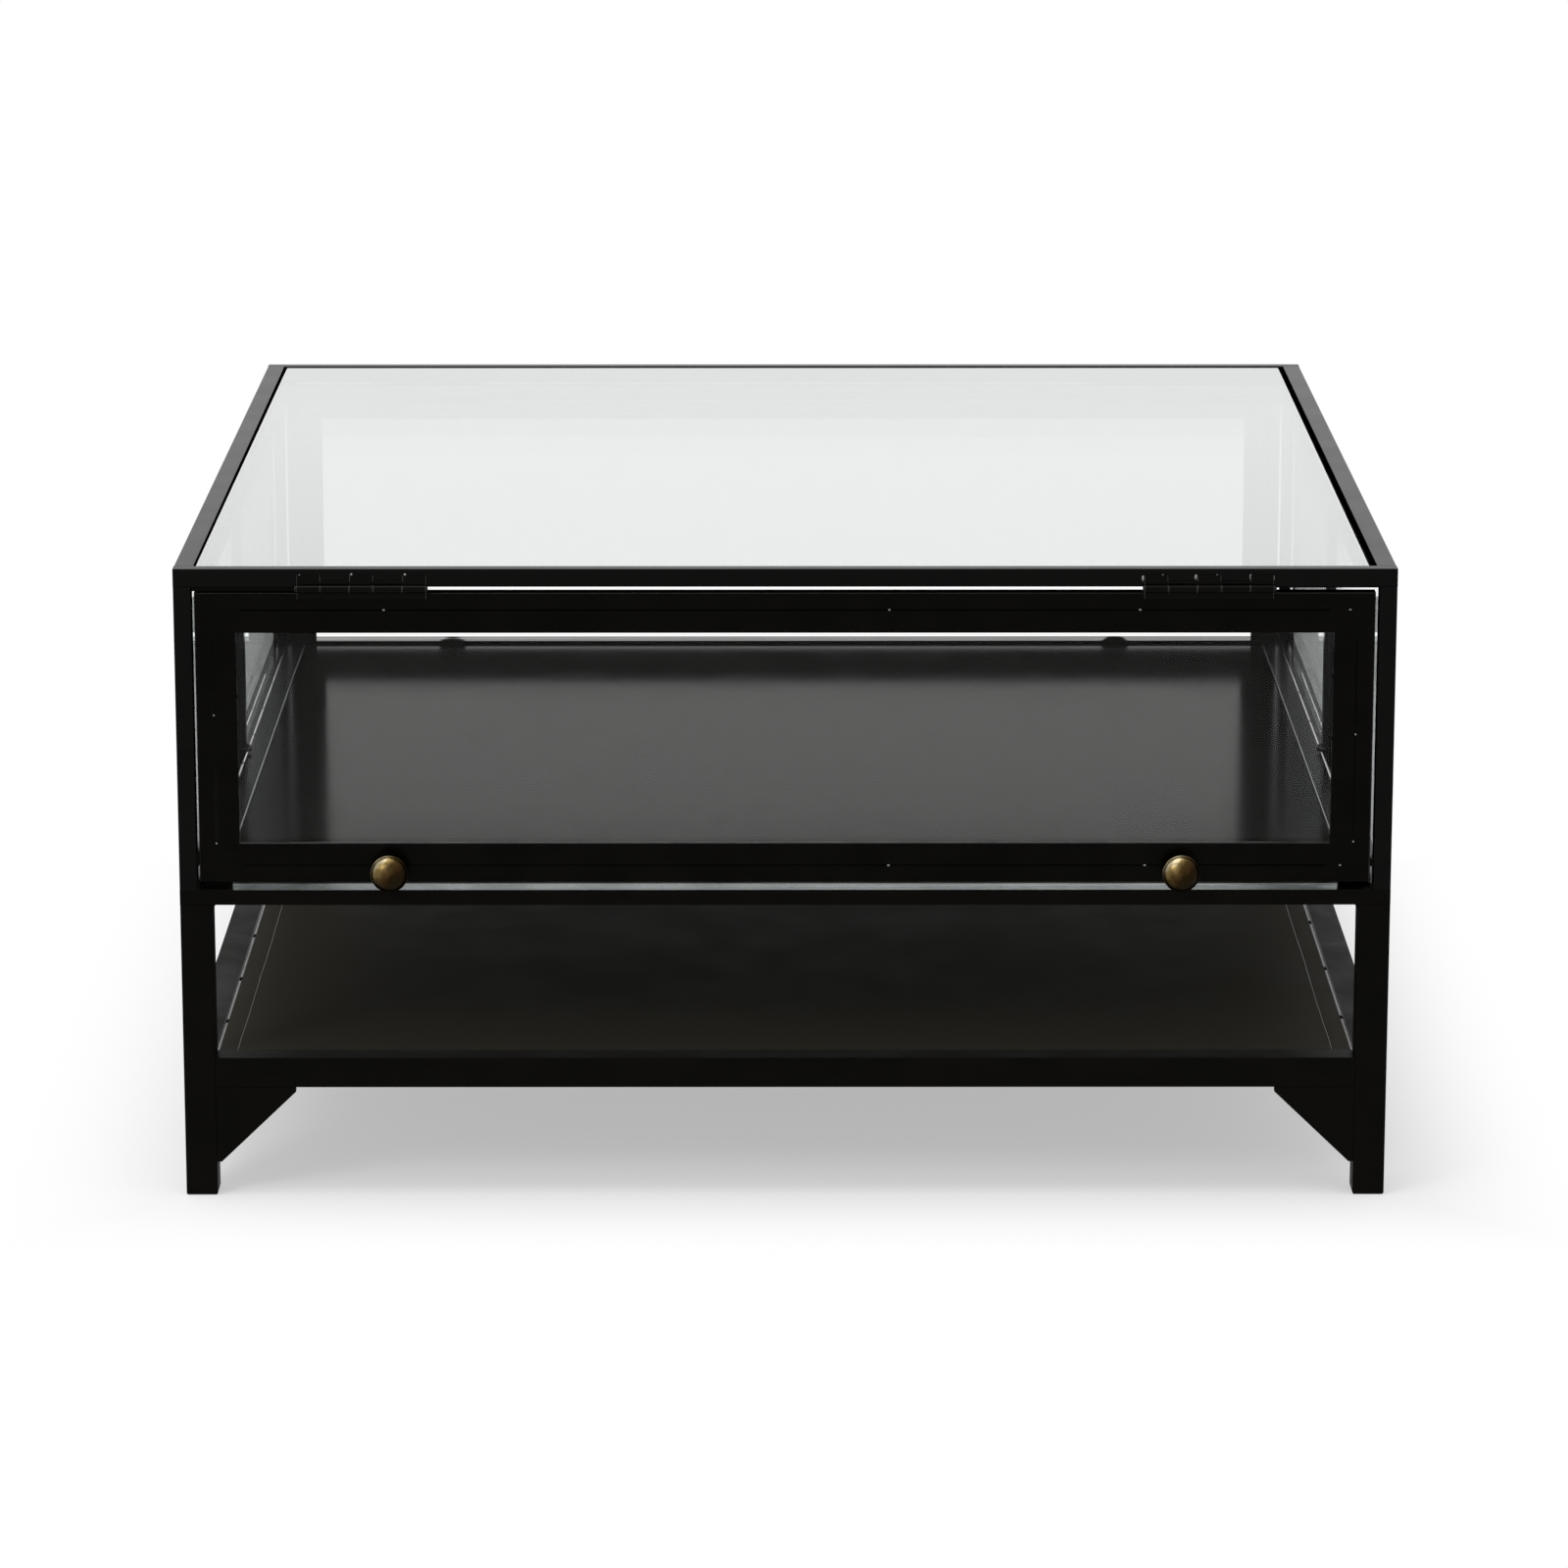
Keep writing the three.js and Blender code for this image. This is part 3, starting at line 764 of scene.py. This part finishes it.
def eased_door_frame(end):
    """A copy of a door frame with its bars' long edges rounded, and the edges in its seam rounded less."""
    low, high = seam_box("door_frame_" + end)

    def is_bar_edge(edge):
        return runs_along(edge, [0, 2]) and not on_the_seam(edge, low, high)

    def is_seam_edge(edge):
        return runs_along(edge, [0, 2]) and on_the_seam(edge, low, high)

    piece = eased_copy("door_frame_" + end, door_lacquer, is_bar_edge)
    open_mesh(piece)
    choose(piece, "edges", is_seam_edge)
    round_edges(SEAM_ROUND, SEAM_STEPS)
    return close_mesh(piece)


for end in ends:
    door_piece = eased_door_frame(end)
    print(door_piece.name, len(door_piece.data.polygons), "faces")

# %% [markdown]
# A door's edges get painted highlights, partly standing for where they are touched: the lower edge
# of the opening, rubbed by the cloth that wipes the pane, the door's rim, rubbed by the posts, and its
# top edge, rubbed by the hinges, are painted glossier and lighter. The upright seams get a painted
# highlight, while the level seams and the top face are painted dull black as painted shade. A later
# finish covers an earlier one.

# %% Paint the faces of the doors
SILL_SHARE = 0.3
TILTED_SHARE = 0.1
ACROSS_SHARE = 0.3
GROOVE_AREA = 600 * MM * MM


def on_the_sill(face, low, high):
    """True for a face that looks up from the lower bars, inside the door."""
    return face.normal.z > SILL_SHARE and low.z + SEAM_REACH < face.center.z < (low.z + high.z) / 2


def in_upright_seam(face, low, high):
    near = min(abs(face.center.x - side.x) for side in (low, high)) < SEAM_REACH + SEAM_ROUND
    return is_turned(face) and near


def above_the_seam(face, high):
    return face.center.z > high.z + 2 * SEAM_REACH


def on_the_top_edge(face, low, high):
    return is_turned(face) and above_the_seam(face, high)


def on_the_rim(face, low, high):
    """True for a face of the rounded edges at the door's sides."""
    return is_turned(face) and not low.x - SEAM_REACH < face.center.x < high.x + SEAM_REACH


def is_dull(face, low, high):
    """True for a face in one of the two level seams, and for the door's top face; both are painted dull black
    as painted shade.
    """
    near = min(abs(face.center.z - side.z) for side in (low, high)) < SEAM_REACH + SEAM_ROUND
    hollow = abs(face.normal.z) > TILTED_SHARE or face.area < GROOVE_AREA
    in_level_seam = near and abs(face.normal.x) < ACROSS_SHARE and hollow
    return in_level_seam or (faces_up(face) and above_the_seam(face, high))


DOOR_FINISHES = (
    (edge_highlight_lacquer, on_the_sill),
    (edge_highlight_lacquer, in_upright_seam),
    (worn_highlight_lacquer, on_the_top_edge),
    (edge_highlight_lacquer, on_the_rim),
    (shade_painted_lacquer, is_dull),
)
for end in ends:
    low, high = seam_box("door_frame_" + end)
    door_piece = eased("door_frame_" + end)
    for finish, belongs in DOOR_FINISHES:
        painted = paint_faces(door_piece, finish, lambda face: belongs(face, low, high))
        print(end, "door,", finish.name, painted, "faces")

# %% [markdown]
# The hinges are rolled from strip and painted with the table. Their solids have the right knuckles
# and leaves already. A copy gets fine rounds on every sharp edge and a smooth barrel. The ends of the
# knuckles, where they rub on each other, are partly worn and are painted lighter as a painted highlight.

# %% Finish the hinges
HINGE_SORTS = ("fixed_leaf", "swing_leaf", "hinge_pin")
HINGE_ROUND = 0.2 * MM
BARREL_STEP = math.radians(30)


def is_sharp(edge):
    return len(edge.link_faces) == 2 and edge.is_convex and edge.calc_face_angle(0) > BARREL_STEP


def is_knuckle_end(face):
    return LEANING_SHARE < abs(face.normal.x) < UNTURNED_SHARE


hinge_parts = [f"{sort}_{end}_{side}" for sort in HINGE_SORTS for end, side in corners]
for part in hinge_parts:
    hinge_piece = eased_copy(part, hinge_lacquer, is_sharp, HINGE_ROUND)
    paint_faces(hinge_piece, rubbed_highlight_lacquer, is_knuckle_end)
print("finished", len(hinge_parts), "hinge parts")

# %% [markdown]
# The glass has ground edges. The panes in the doors and sides are seen through their frames, so
# their solids stay as they are. The top pane's edge shows, so its copy has its arrises taken off.

# %% Dress the glass, the beads and the ledge
ARRIS = 0.8 * MM


def dress_node(node, material):
    mesh = nodes[node].data
    mesh.materials.clear()
    mesh.materials.append(material)


for end in ends:
    dress_node("door_glass_" + end, door_glass)
    dress_node("door_bead_" + end, bead_rubber)
for end, side in corners:
    dress_node(f"side_glass_{side}_{end}", side_glass)
dress_node("top_glass_ledge", door_lacquer)
eased_copy("top_glass", top_glass, is_sharp, ARRIS)
print("glass dressed")

# %% [markdown]
# A deck or a shelf is a thin sheet with a flat bar along each side. The shelf's sheet lies on its
# flats and was cut by eye, so its edge wavers. The deck's sheet is tucked under its flats, whose inner
# edges are painted bright as a painted highlight. Each is remade from a plane or a box at the solid's
# own levels.

# %% A helper for rounded bars
FLAT_ROUND = 0.8 * MM


def new_piece(name):
    piece = bpy.context.active_object
    piece.name = name
    return piece


def eased_box(name, low, high, rounding=FLAT_ROUND):
    """A bar between two corners, with its edges rounded."""
    deselect_all()
    middle = (low + high) / 2
    bpy.ops.mesh.primitive_cube_add(size=1, location=middle)
    piece = new_piece(name)
    piece.scale = high - low
    settle(piece)
    open_mesh(piece)
    bpy.ops.mesh.select_all(action="SELECT")
    round_edges(rounding)
    return close_mesh(piece)


print("flats are rounded by", FLAT_ROUND, "m")

# %% [markdown]
# A flat is a plain bar, so a box between two corners with rounded edges makes it. The levels and the
# length come from the solid. The upper edge that hands and cloths reach is worn, and is painted lighter
# as a painted highlight: on the deck the inner one, with a bare-metal look, and on the shelf the outer one.

# %% Lay the flats
TABLE_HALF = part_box("mid_rail_front")[1].x
DECK_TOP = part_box("deck_panel")[1].z
SHELF_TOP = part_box("shelf_panel")[1].z
SHEET = 1.5 * MM
DECK_FLAT = 2.5 * MM
SHELF_FLAT = 4 * MM
DECK_FLAT_PLACE = {"inset": 13.7 * MM, "width": 16 * MM, "top": DECK_TOP, "thickness": DECK_FLAT}
SHELF_FLAT_PLACE = {"inset": 24.1 * MM, "width": 18.4 * MM, "top": SHELF_TOP - SHEET, "thickness": SHELF_FLAT}


def flat_pair(name, node, inset, width, top, thickness):
    """The two flat bars along the sides of a deck or shelf, the left one first."""
    low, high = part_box(node)
    outer = TABLE_HALF - inset
    inner = outer - width
    left = Vector((-outer, low.y, top - thickness)), Vector((-inner, high.y, top))
    right = Vector((inner, low.y, top - thickness)), Vector((outer, high.y, top))
    return eased_box(name + "_left", *left), eased_box(name + "_right", *right)


def wear_and_highlight_pair(flats, material, wear_highlight, worn_highlight_side):
    """Dresses two flats and paints their inner (-1) or outer (1) upper edges lighter, partly wear and partly
    a painted highlight.
    """
    for flat, sign in zip(flats, (-1, 1)):
        dress(flat, material, "frame")
        outward = worn_highlight_side * sign
        paint_faces(flat, wear_highlight, lambda face: min(face.normal.z, outward * face.normal.x) > LEANING_SHARE)


wear_and_highlight_pair(flat_pair("deck_flat", "deck_panel", **DECK_FLAT_PLACE), flat_lacquer, bare_metal_highlight, -1)
wear_and_highlight_pair(flat_pair("shelf_flat", "shelf_panel", **SHELF_FLAT_PLACE), shelf_lacquer, worn_highlight_lacquer, 1)
print("deck top", round(DECK_TOP, 4), "shelf top", round(SHELF_TOP, 4))

# %% [markdown]
# A cut made by eye follows its line loosely. Its long swings and short ones come from two noises,
# read along the cut. The side vertices of a fine grid are moved by them before the sheet is given
# its thickness.

# %% Cut the sheets
EDGE_STEPS = 300
CUT_ROUND = 0.4 * MM
CUT_STEPS = 2
SIDEWAYS_SHARE = 0.8
LONG_SWINGS = 9
SHORT_SWINGS = 55
SHORT_SHARE = 0.45
LONG_SEED = (3, 0.5)
SHORT_SEED = (7, 1.5)


def is_cut_edge(edge):
    """True for an edge between the top of a sheet and one of its side cuts."""
    meets_top = any(faces_up(face) for face in edge.link_faces)
    return meets_top and any(abs(face.normal.x) > SIDEWAYS_SHARE for face in edge.link_faces)


def swing(along, sign):
    """How far a cut strays outwards at one place along it, as a share of its waver."""
    slow = noise.noise(Vector((along * LONG_SWINGS, sign * LONG_SEED[0], LONG_SEED[1])))
    quick = noise.noise(Vector((along * SHORT_SWINGS, sign * SHORT_SEED[0], SHORT_SEED[1])))
    return slow + SHORT_SHARE * quick


def cut_sheet(name, node, half_width, top, waver, material):
    """A sheet whose two side edges waver, as a cut made by eye does."""
    low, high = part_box(node)
    deselect_all()
    bpy.ops.mesh.primitive_grid_add(x_subdivisions=1, y_subdivisions=EDGE_STEPS, size=1)
    sheet = new_piece(name)
    sheet.scale = (2 * half_width, high.y - low.y, 1)
    sheet.location = (0, (low.y + high.y) / 2, top)
    settle(sheet)
    for vertex in sheet.data.vertices:
        sign = math.copysign(1, vertex.co.x)
        vertex.co.x += sign * waver * swing(vertex.co.y, sign)
    open_mesh(sheet)
    bpy.ops.mesh.select_all(action="SELECT")
    bpy.ops.mesh.extrude_region_move(TRANSFORM_OT_translate={"value": (0, 0, -SHEET)})
    bpy.ops.mesh.select_all(action="SELECT")
    bpy.ops.mesh.normals_make_consistent(inside=False)
    choose(sheet, "edges", is_cut_edge)
    round_edges(CUT_ROUND, CUT_STEPS)
    close_mesh(sheet)
    dress(sheet, material, "frame")
    # The rounded top of each cut edge is painted glossier and lighter, a painted highlight.
    paint_faces(sheet, edge_highlight_lacquer, lambda face: min(face.normal.z, abs(face.normal.x)) > LEANING_SHARE)
    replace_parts(sheet, node)
    print(name, len(sheet.data.polygons), "faces")


SHELF_SHEET_HALF = TABLE_HALF - 39.5 * MM
DECK_SHEET_HALF = TABLE_HALF - 19.7 * MM
cut_sheet("shelf_sheet", "shelf_panel", SHELF_SHEET_HALF, SHELF_TOP, 0.5 * MM, shelf_lacquer)
cut_sheet("deck_sheet", "deck_panel", DECK_SHEET_HALF, DECK_TOP - DECK_FLAT, 0.2 * MM, deck_lacquer)

# %% [markdown]
# Weld metal holds all this together. It was ground where it would show, and left in small lumps
# where the flats are tacked to the rails. A lump is a ball, squashed and roughened, sunk half into
# the metal. Noise read at its own place makes each one different. A set of lumps is joined into one
# piece.

# %% A lump of weld metal
LUMP_ROUGH = 0.16
LUMP_GRAIN = 4
LUMPS_APART = 900


def weld_lump(place, sizes):
    """A squashed, uneven ball of weld metal, centred on a place."""
    deselect_all()
    bpy.ops.mesh.primitive_ico_sphere_add(subdivisions=3, radius=0.5)
    lump = bpy.context.active_object
    for vertex in lump.data.vertices:
        swell = noise.noise(vertex.co * LUMP_GRAIN + Vector(place) * LUMPS_APART)
        vertex.co *= 1 + LUMP_ROUGH * swell
    lump.scale = sizes
    lump.location = place
    return settle(lump)


def welded(name, lumps, material, body):
    """Joins lumps into one piece and dresses it."""
    deselect_all()
    for lump in lumps:
        lump.select_set(True)
    bpy.context.view_layer.objects.active = lumps[0]
    bpy.ops.object.join()
    piece = new_piece(name)
    bpy.ops.object.shade_smooth()
    dress(piece, material, body)
    print(name, len(lumps), "lumps")


# %% [markdown]
# Tacks hold each flat to its rail. They were spaced by eye, so each side has a row of its own. On the
# shelf they are long and thick. On the deck they were ground down more, and are small.

# %% Tack the flats to the rails
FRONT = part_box("mid_rail_front")[0].y
SHELF_TACKS = {-1: (112, 236, 370, 497, 624, 751), 1: (122, 267, 412, 557, 702, 815)}
DECK_TACKS = {-1: (105, 210, 315, 420, 524, 623, 724, 825), 1: (125, 237, 349, 461, 573, 685, 797)}
TACK_SINK = 0.3 * MM
SHELF_TACK_INSET = 23.8 * MM
DECK_TACK_INSET = 13.2 * MM
SHELF_LUMP = (3.4 * MM, 9 * MM, 2.2 * MM)
DECK_LUMP = (1.8 * MM, 5 * MM, 1.2 * MM)


def tacks(name, depths, inset, level, sizes):
    """Rows of lumps along both sides, at depths in millimetres from the table's front."""
    lumps = []
    for sign, row in depths.items():
        for depth in row:
            place = (sign * (TABLE_HALF - inset), FRONT + depth * MM, level)
            lumps.append(weld_lump(place, sizes))
    welded(name, lumps, case_lacquer, "frame")


tacks("shelf_tacks", SHELF_TACKS, SHELF_TACK_INSET, SHELF_TOP - SHEET - TACK_SINK, SHELF_LUMP)
tacks("deck_tacks", DECK_TACKS, DECK_TACK_INSET, DECK_TOP - TACK_SINK, DECK_LUMP)

# %% [markdown]
# Some welds were left standing. One runs round the foot of each mullion, in four lumps. The table
# gives for each lump, in millimetres, its inset from the table's side, its place along it, its rise
# above the deck and its size.

# %% Weld the feet of the mullions
MULLION_LUMPS = ((13.6, -6.4, 3.7, 5), (14.6, -1.2, 3.3, 6), (13.4, 5.9, 4.1, 5), (11.2, -7.2, 4.3, 4.5))
MULLION_SQUASH = 0.8

lumps = []
for sign in (-1, 1):
    for inset, along, rise, size in MULLION_LUMPS:
        place = (sign * (TABLE_HALF - inset * MM), along * MM, DECK_TOP + rise * MM)
        lumps.append(weld_lump(place, (size * MM, size * MM, MULLION_SQUASH * size * MM)))
welded("mullion_welds", lumps, edge_highlight_lacquer, "frame")

# %% [markdown]
# In each corner of the table, one weld closes the slit beside the door stop, and one fills the angle
# where the leg meets the middle rail.

# %% Weld the corners
STOP_SLIT = (3.8 * MM, 5 * MM, 12 * MM)
STOP_INSET = (15 * MM, 17.5 * MM)
STOP_RISE = 2.2 * MM
FILLET = (5 * MM, 3 * MM, 5 * MM)
FILLET_INSET = 3 * MM
LEG_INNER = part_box("leg_front_right")[0].x
RAIL_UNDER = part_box("mid_rail_front")[0].z


def corner_welds(name, inward, level, sizes, material):
    """One lump in each corner, so far inward from the table's side and end."""
    lumps = []
    for side_sign in (-1, 1):
        for end_sign in (-1, 1):
            place = (side_sign * (TABLE_HALF - inward[0]), end_sign * (TABLE_HALF - inward[1]), level)
            lumps.append(weld_lump(place, sizes))
    welded(name, lumps, material, "frame")


corner_welds("stop_welds", STOP_INSET, DECK_TOP + STOP_RISE, STOP_SLIT, case_lacquer)
corner_welds("leg_welds", (TABLE_HALF - LEG_INNER, FILLET_INSET), RAIL_UNDER, FILLET, low_lacquer)

# %% [markdown]
# Small welds, painted bright as painted glints, sit at the corners of the hinge tabs. Their places, from
# the table's middle and from the floor, are those at the front. The back is the front turned half round.

# %% Weld the hinge tabs
HINGE_GLINTS = (
    (-362.5, 481.6), (-360.6, 479.9), (-323.7, 482.6), (-283.7, 482.4), (267.0, 480.6),
    (281.8, 481.5), (306.4, 481.5), (322.2, 481.5), (347.4, 481.5), (364.2, 481.0),
)
GLINT = (2.0 * MM, 2.0 * MM, 4.4 * MM)
GLINT_SINK = 0.1 * MM
TURNS = {"front": 1, "back": -1}

for end, turn in TURNS.items():
    face = -turn * (TABLE_HALF - GLINT_SINK)
    lumps = [weld_lump((turn * x * MM, face, z * MM), GLINT) for x, z in HINGE_GLINTS]
    welded("hinge_welds_" + end, lumps, weld_painted_glint, "frame")

# %% [markdown]
# The gap above a door is open between its hinges. Beyond them a packing strip is welded under the
# top rail. To the left, as one faces the door, it nearly closes the gap, and to the right it leaves a
# thin line of light.

# %% Fit the packing strips
CLOSE_STRIP = 0.9 * MM
OPEN_STRIP = 3.5 * MM
STRIP_SETBACK = 2 * MM
STRIP_THICK = 2 * MM
STRIP_ROUND = 0.2 * MM

for end, side in corners:
    clearance = CLOSE_STRIP if (end == "front") == (side == "left") else OPEN_STRIP
    leaf_low, leaf_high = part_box(f"fixed_leaf_{end}_{side}")
    post_low, post_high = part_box(f"post_{end}_{side}")
    xs = (post_high.x, leaf_low.x) if side == "left" else (leaf_high.x, post_low.x)
    face = TABLE_HALF - STRIP_SETBACK
    ys = (-face, STRIP_THICK - face) if end == "front" else (face - STRIP_THICK, face)
    zs = (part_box("door_frame_" + end)[1].z + clearance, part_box("top_rail_" + end)[0].z)
    bottom, upper = (Vector(corner) for corner in zip(xs, ys, zs))
    strip = eased_box(f"packing_strip_{end}_{side}", bottom, upper, STRIP_ROUND)
    dress(strip, door_lacquer, "frame")
print("packing strips fitted")

# %% [markdown]
# The seam of each door is closed by a few tacks, ground nearly flush and painted bright as painted
# glints. The places are those of the front door. The back door is its twin, so its tacks are turned half
# round.

# %% Tack the door seams
SEAM_TACKS_ALONG = {"top": (-300, 77.8, 265.2, 422.2), "bottom": (77.8, 271.1, 418.5)}
SEAM_TACKS_UP = {"left": (375.9, 277.0), "right": (361.1, 278.1)}
TACK = (2.1 * MM, 0.5 * MM, 1.2 * MM)
SEAM_SPECK = (1.2 * MM, 0.4 * MM, 1.5 * MM)

for end, turn in TURNS.items():
    low, high = seam_box("door_frame_" + end)
    low_out, high_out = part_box("door_frame_" + end)
    levels = {"top": high.z, "bottom": low.z}
    if end == "front":
        face = low_out.y
        lines = {"left": low.x, "right": high.x}
    else:
        face = high_out.y
        lines = {"left": high.x, "right": low.x}
    lumps = []
    for edge, row in SEAM_TACKS_ALONG.items():
        lumps += [weld_lump((turn * x * MM, face, levels[edge]), TACK) for x in row]
    for edge, row in SEAM_TACKS_UP.items():
        lumps += [weld_lump((lines[edge], face, z * MM), SEAM_SPECK) for z in row]
    welded("seam_tacks_" + end, lumps, weld_painted_glint, end + "_door")

# %% [markdown]
# Two small pads stand in the gap at each side of a door, welded to the post. They keep the door from
# racking sideways as it closes, and break the line of light in the gap. Each fills the gap between
# its post and the door, but for a little play, and starts at or above the deck.

# %% Make the side pads
PAD_RISES = {"left": ((0, 8.7), (18.7, 30.7)), "right": ((0, 4.7), (18.1, 24.1))}
PAD_PLAY = 0.2 * MM
PAD_SETBACK = 0.4 * MM
PAD_DEEP = 12 * MM
PAD_ROUND = 0.3 * MM

for end, side in corners:
    low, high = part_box(f"post_{end}_{side}")
    door_low, door_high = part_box("door_frame_" + end)
    xs = (high.x, door_low.x - PAD_PLAY) if side == "left" else (door_high.x + PAD_PLAY, low.x)
    near, far = PAD_SETBACK, PAD_SETBACK + PAD_DEEP
    ys = (low.y + near, low.y + far) if end == "front" else (high.y - far, high.y - near)
    for number, rises in enumerate(PAD_RISES[side]):
        zs = [DECK_TOP + rise * MM for rise in rises]
        bottom, upper = (Vector(corner) for corner in zip(xs, ys, zs))
        pad = eased_box(f"side_pad_{end}_{side}_{number}", bottom, upper, PAD_ROUND)
        dress(pad, door_lacquer, "frame")
print("side pads made")

# %% [markdown]
# A knob is turned on a lathe: a base disc, a slim neck, and a domed head with a fine groove inside
# its rim, which is painted black as painted shade. Its outline is drawn point by point with extruded
# vertices and spun round its own axis. One knob is turned at the origin, pointing to the front.

# %% Turn one knob
KNOB_SIDES = 64
KNOB_SMOOTH = 50
KNOB_SHARES = (
    (0.0, 0.47), (0.05, 0.47), (0.075, 0.44), (0.09, 0.37), (0.17, 0.33), (0.3, 0.325), (0.42, 0.36),
    (0.5, 0.48), (0.545, 0.66), (0.562, 0.9), (0.58, 0.975), (0.605, 1.0), (0.64, 0.995), (0.662, 0.975),
    (0.664, 0.958), (0.645, 0.945), (0.643, 0.925), (0.662, 0.91), (0.715, 0.875), (0.79, 0.78),
    (0.86, 0.635), (0.92, 0.455), (0.965, 0.27), (0.992, 0.11), (1.0, 0.0),
)
low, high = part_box("knob_front_left")
KNOB_RADIUS = (high.x - low.x) / 2
KNOB_LENGTH = high.y - low.y

deselect_all()
bpy.ops.mesh.primitive_plane_add(size=MM)
turned = new_piece("turned_knob")
open_mesh(turned)
bpy.ops.mesh.select_all(action="SELECT")
bpy.ops.mesh.merge(type="CENTER")
here = Vector((0, 0, 0))
for along, out in KNOB_SHARES:
    point = Vector((out * KNOB_RADIUS, -along * KNOB_LENGTH, 0))
    bpy.ops.mesh.extrude_vertices_move(TRANSFORM_OT_translate={"value": point - here})
    here = point
bpy.ops.mesh.select_all(action="SELECT")
bpy.ops.mesh.spin(steps=KNOB_SIDES, angle=math.tau, center=(0, 0, 0), axis=(0, 1, 0))
bpy.ops.mesh.select_all(action="SELECT")
bpy.ops.mesh.remove_doubles(threshold=MERGE_REACH)
close_mesh(turned, KNOB_SMOOTH)
print("knob faces", len(turned.data.polygons))

# %% [markdown]
# The groove is painted dull black, as painted shade in the hollow. The knob is then copied to its four
# seats, each copy with its own mesh, and turned half round for the back door.

# %% Fit the four knobs
GROOVE_OUT_SHARES = (0.915, 0.965)
GROOVE_ALONG_SHARE = 0.63


def in_groove(face):
    out = face.center.xz.length / KNOB_RADIUS
    along = -face.center.y / KNOB_LENGTH
    return GROOVE_OUT_SHARES[0] < out < GROOVE_OUT_SHARES[1] and along > GROOVE_ALONG_SHARE


turned.data.materials.append(antique_brass)
print("faces in the groove", paint_faces(turned, shade_painted_lacquer, in_groove))
for end, side in corners:
    node = f"knob_{end}_{side}"
    low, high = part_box(node)
    knob = bpy.data.objects.new(f"turned_knob_{end}_{side}", turned.data.copy())
    bpy.context.scene.collection.objects.link(knob)
    knob.location = (low + high) / 2
    knob.location.y = high.y if end == "front" else low.y
    knob.rotation_euler.z = 0 if end == "front" else math.pi
    settle(knob)
    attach(knob, body_of_node(node))
    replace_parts(knob, node)
bpy.data.objects.remove(turned)
print("fitted", len(corners), "knobs")
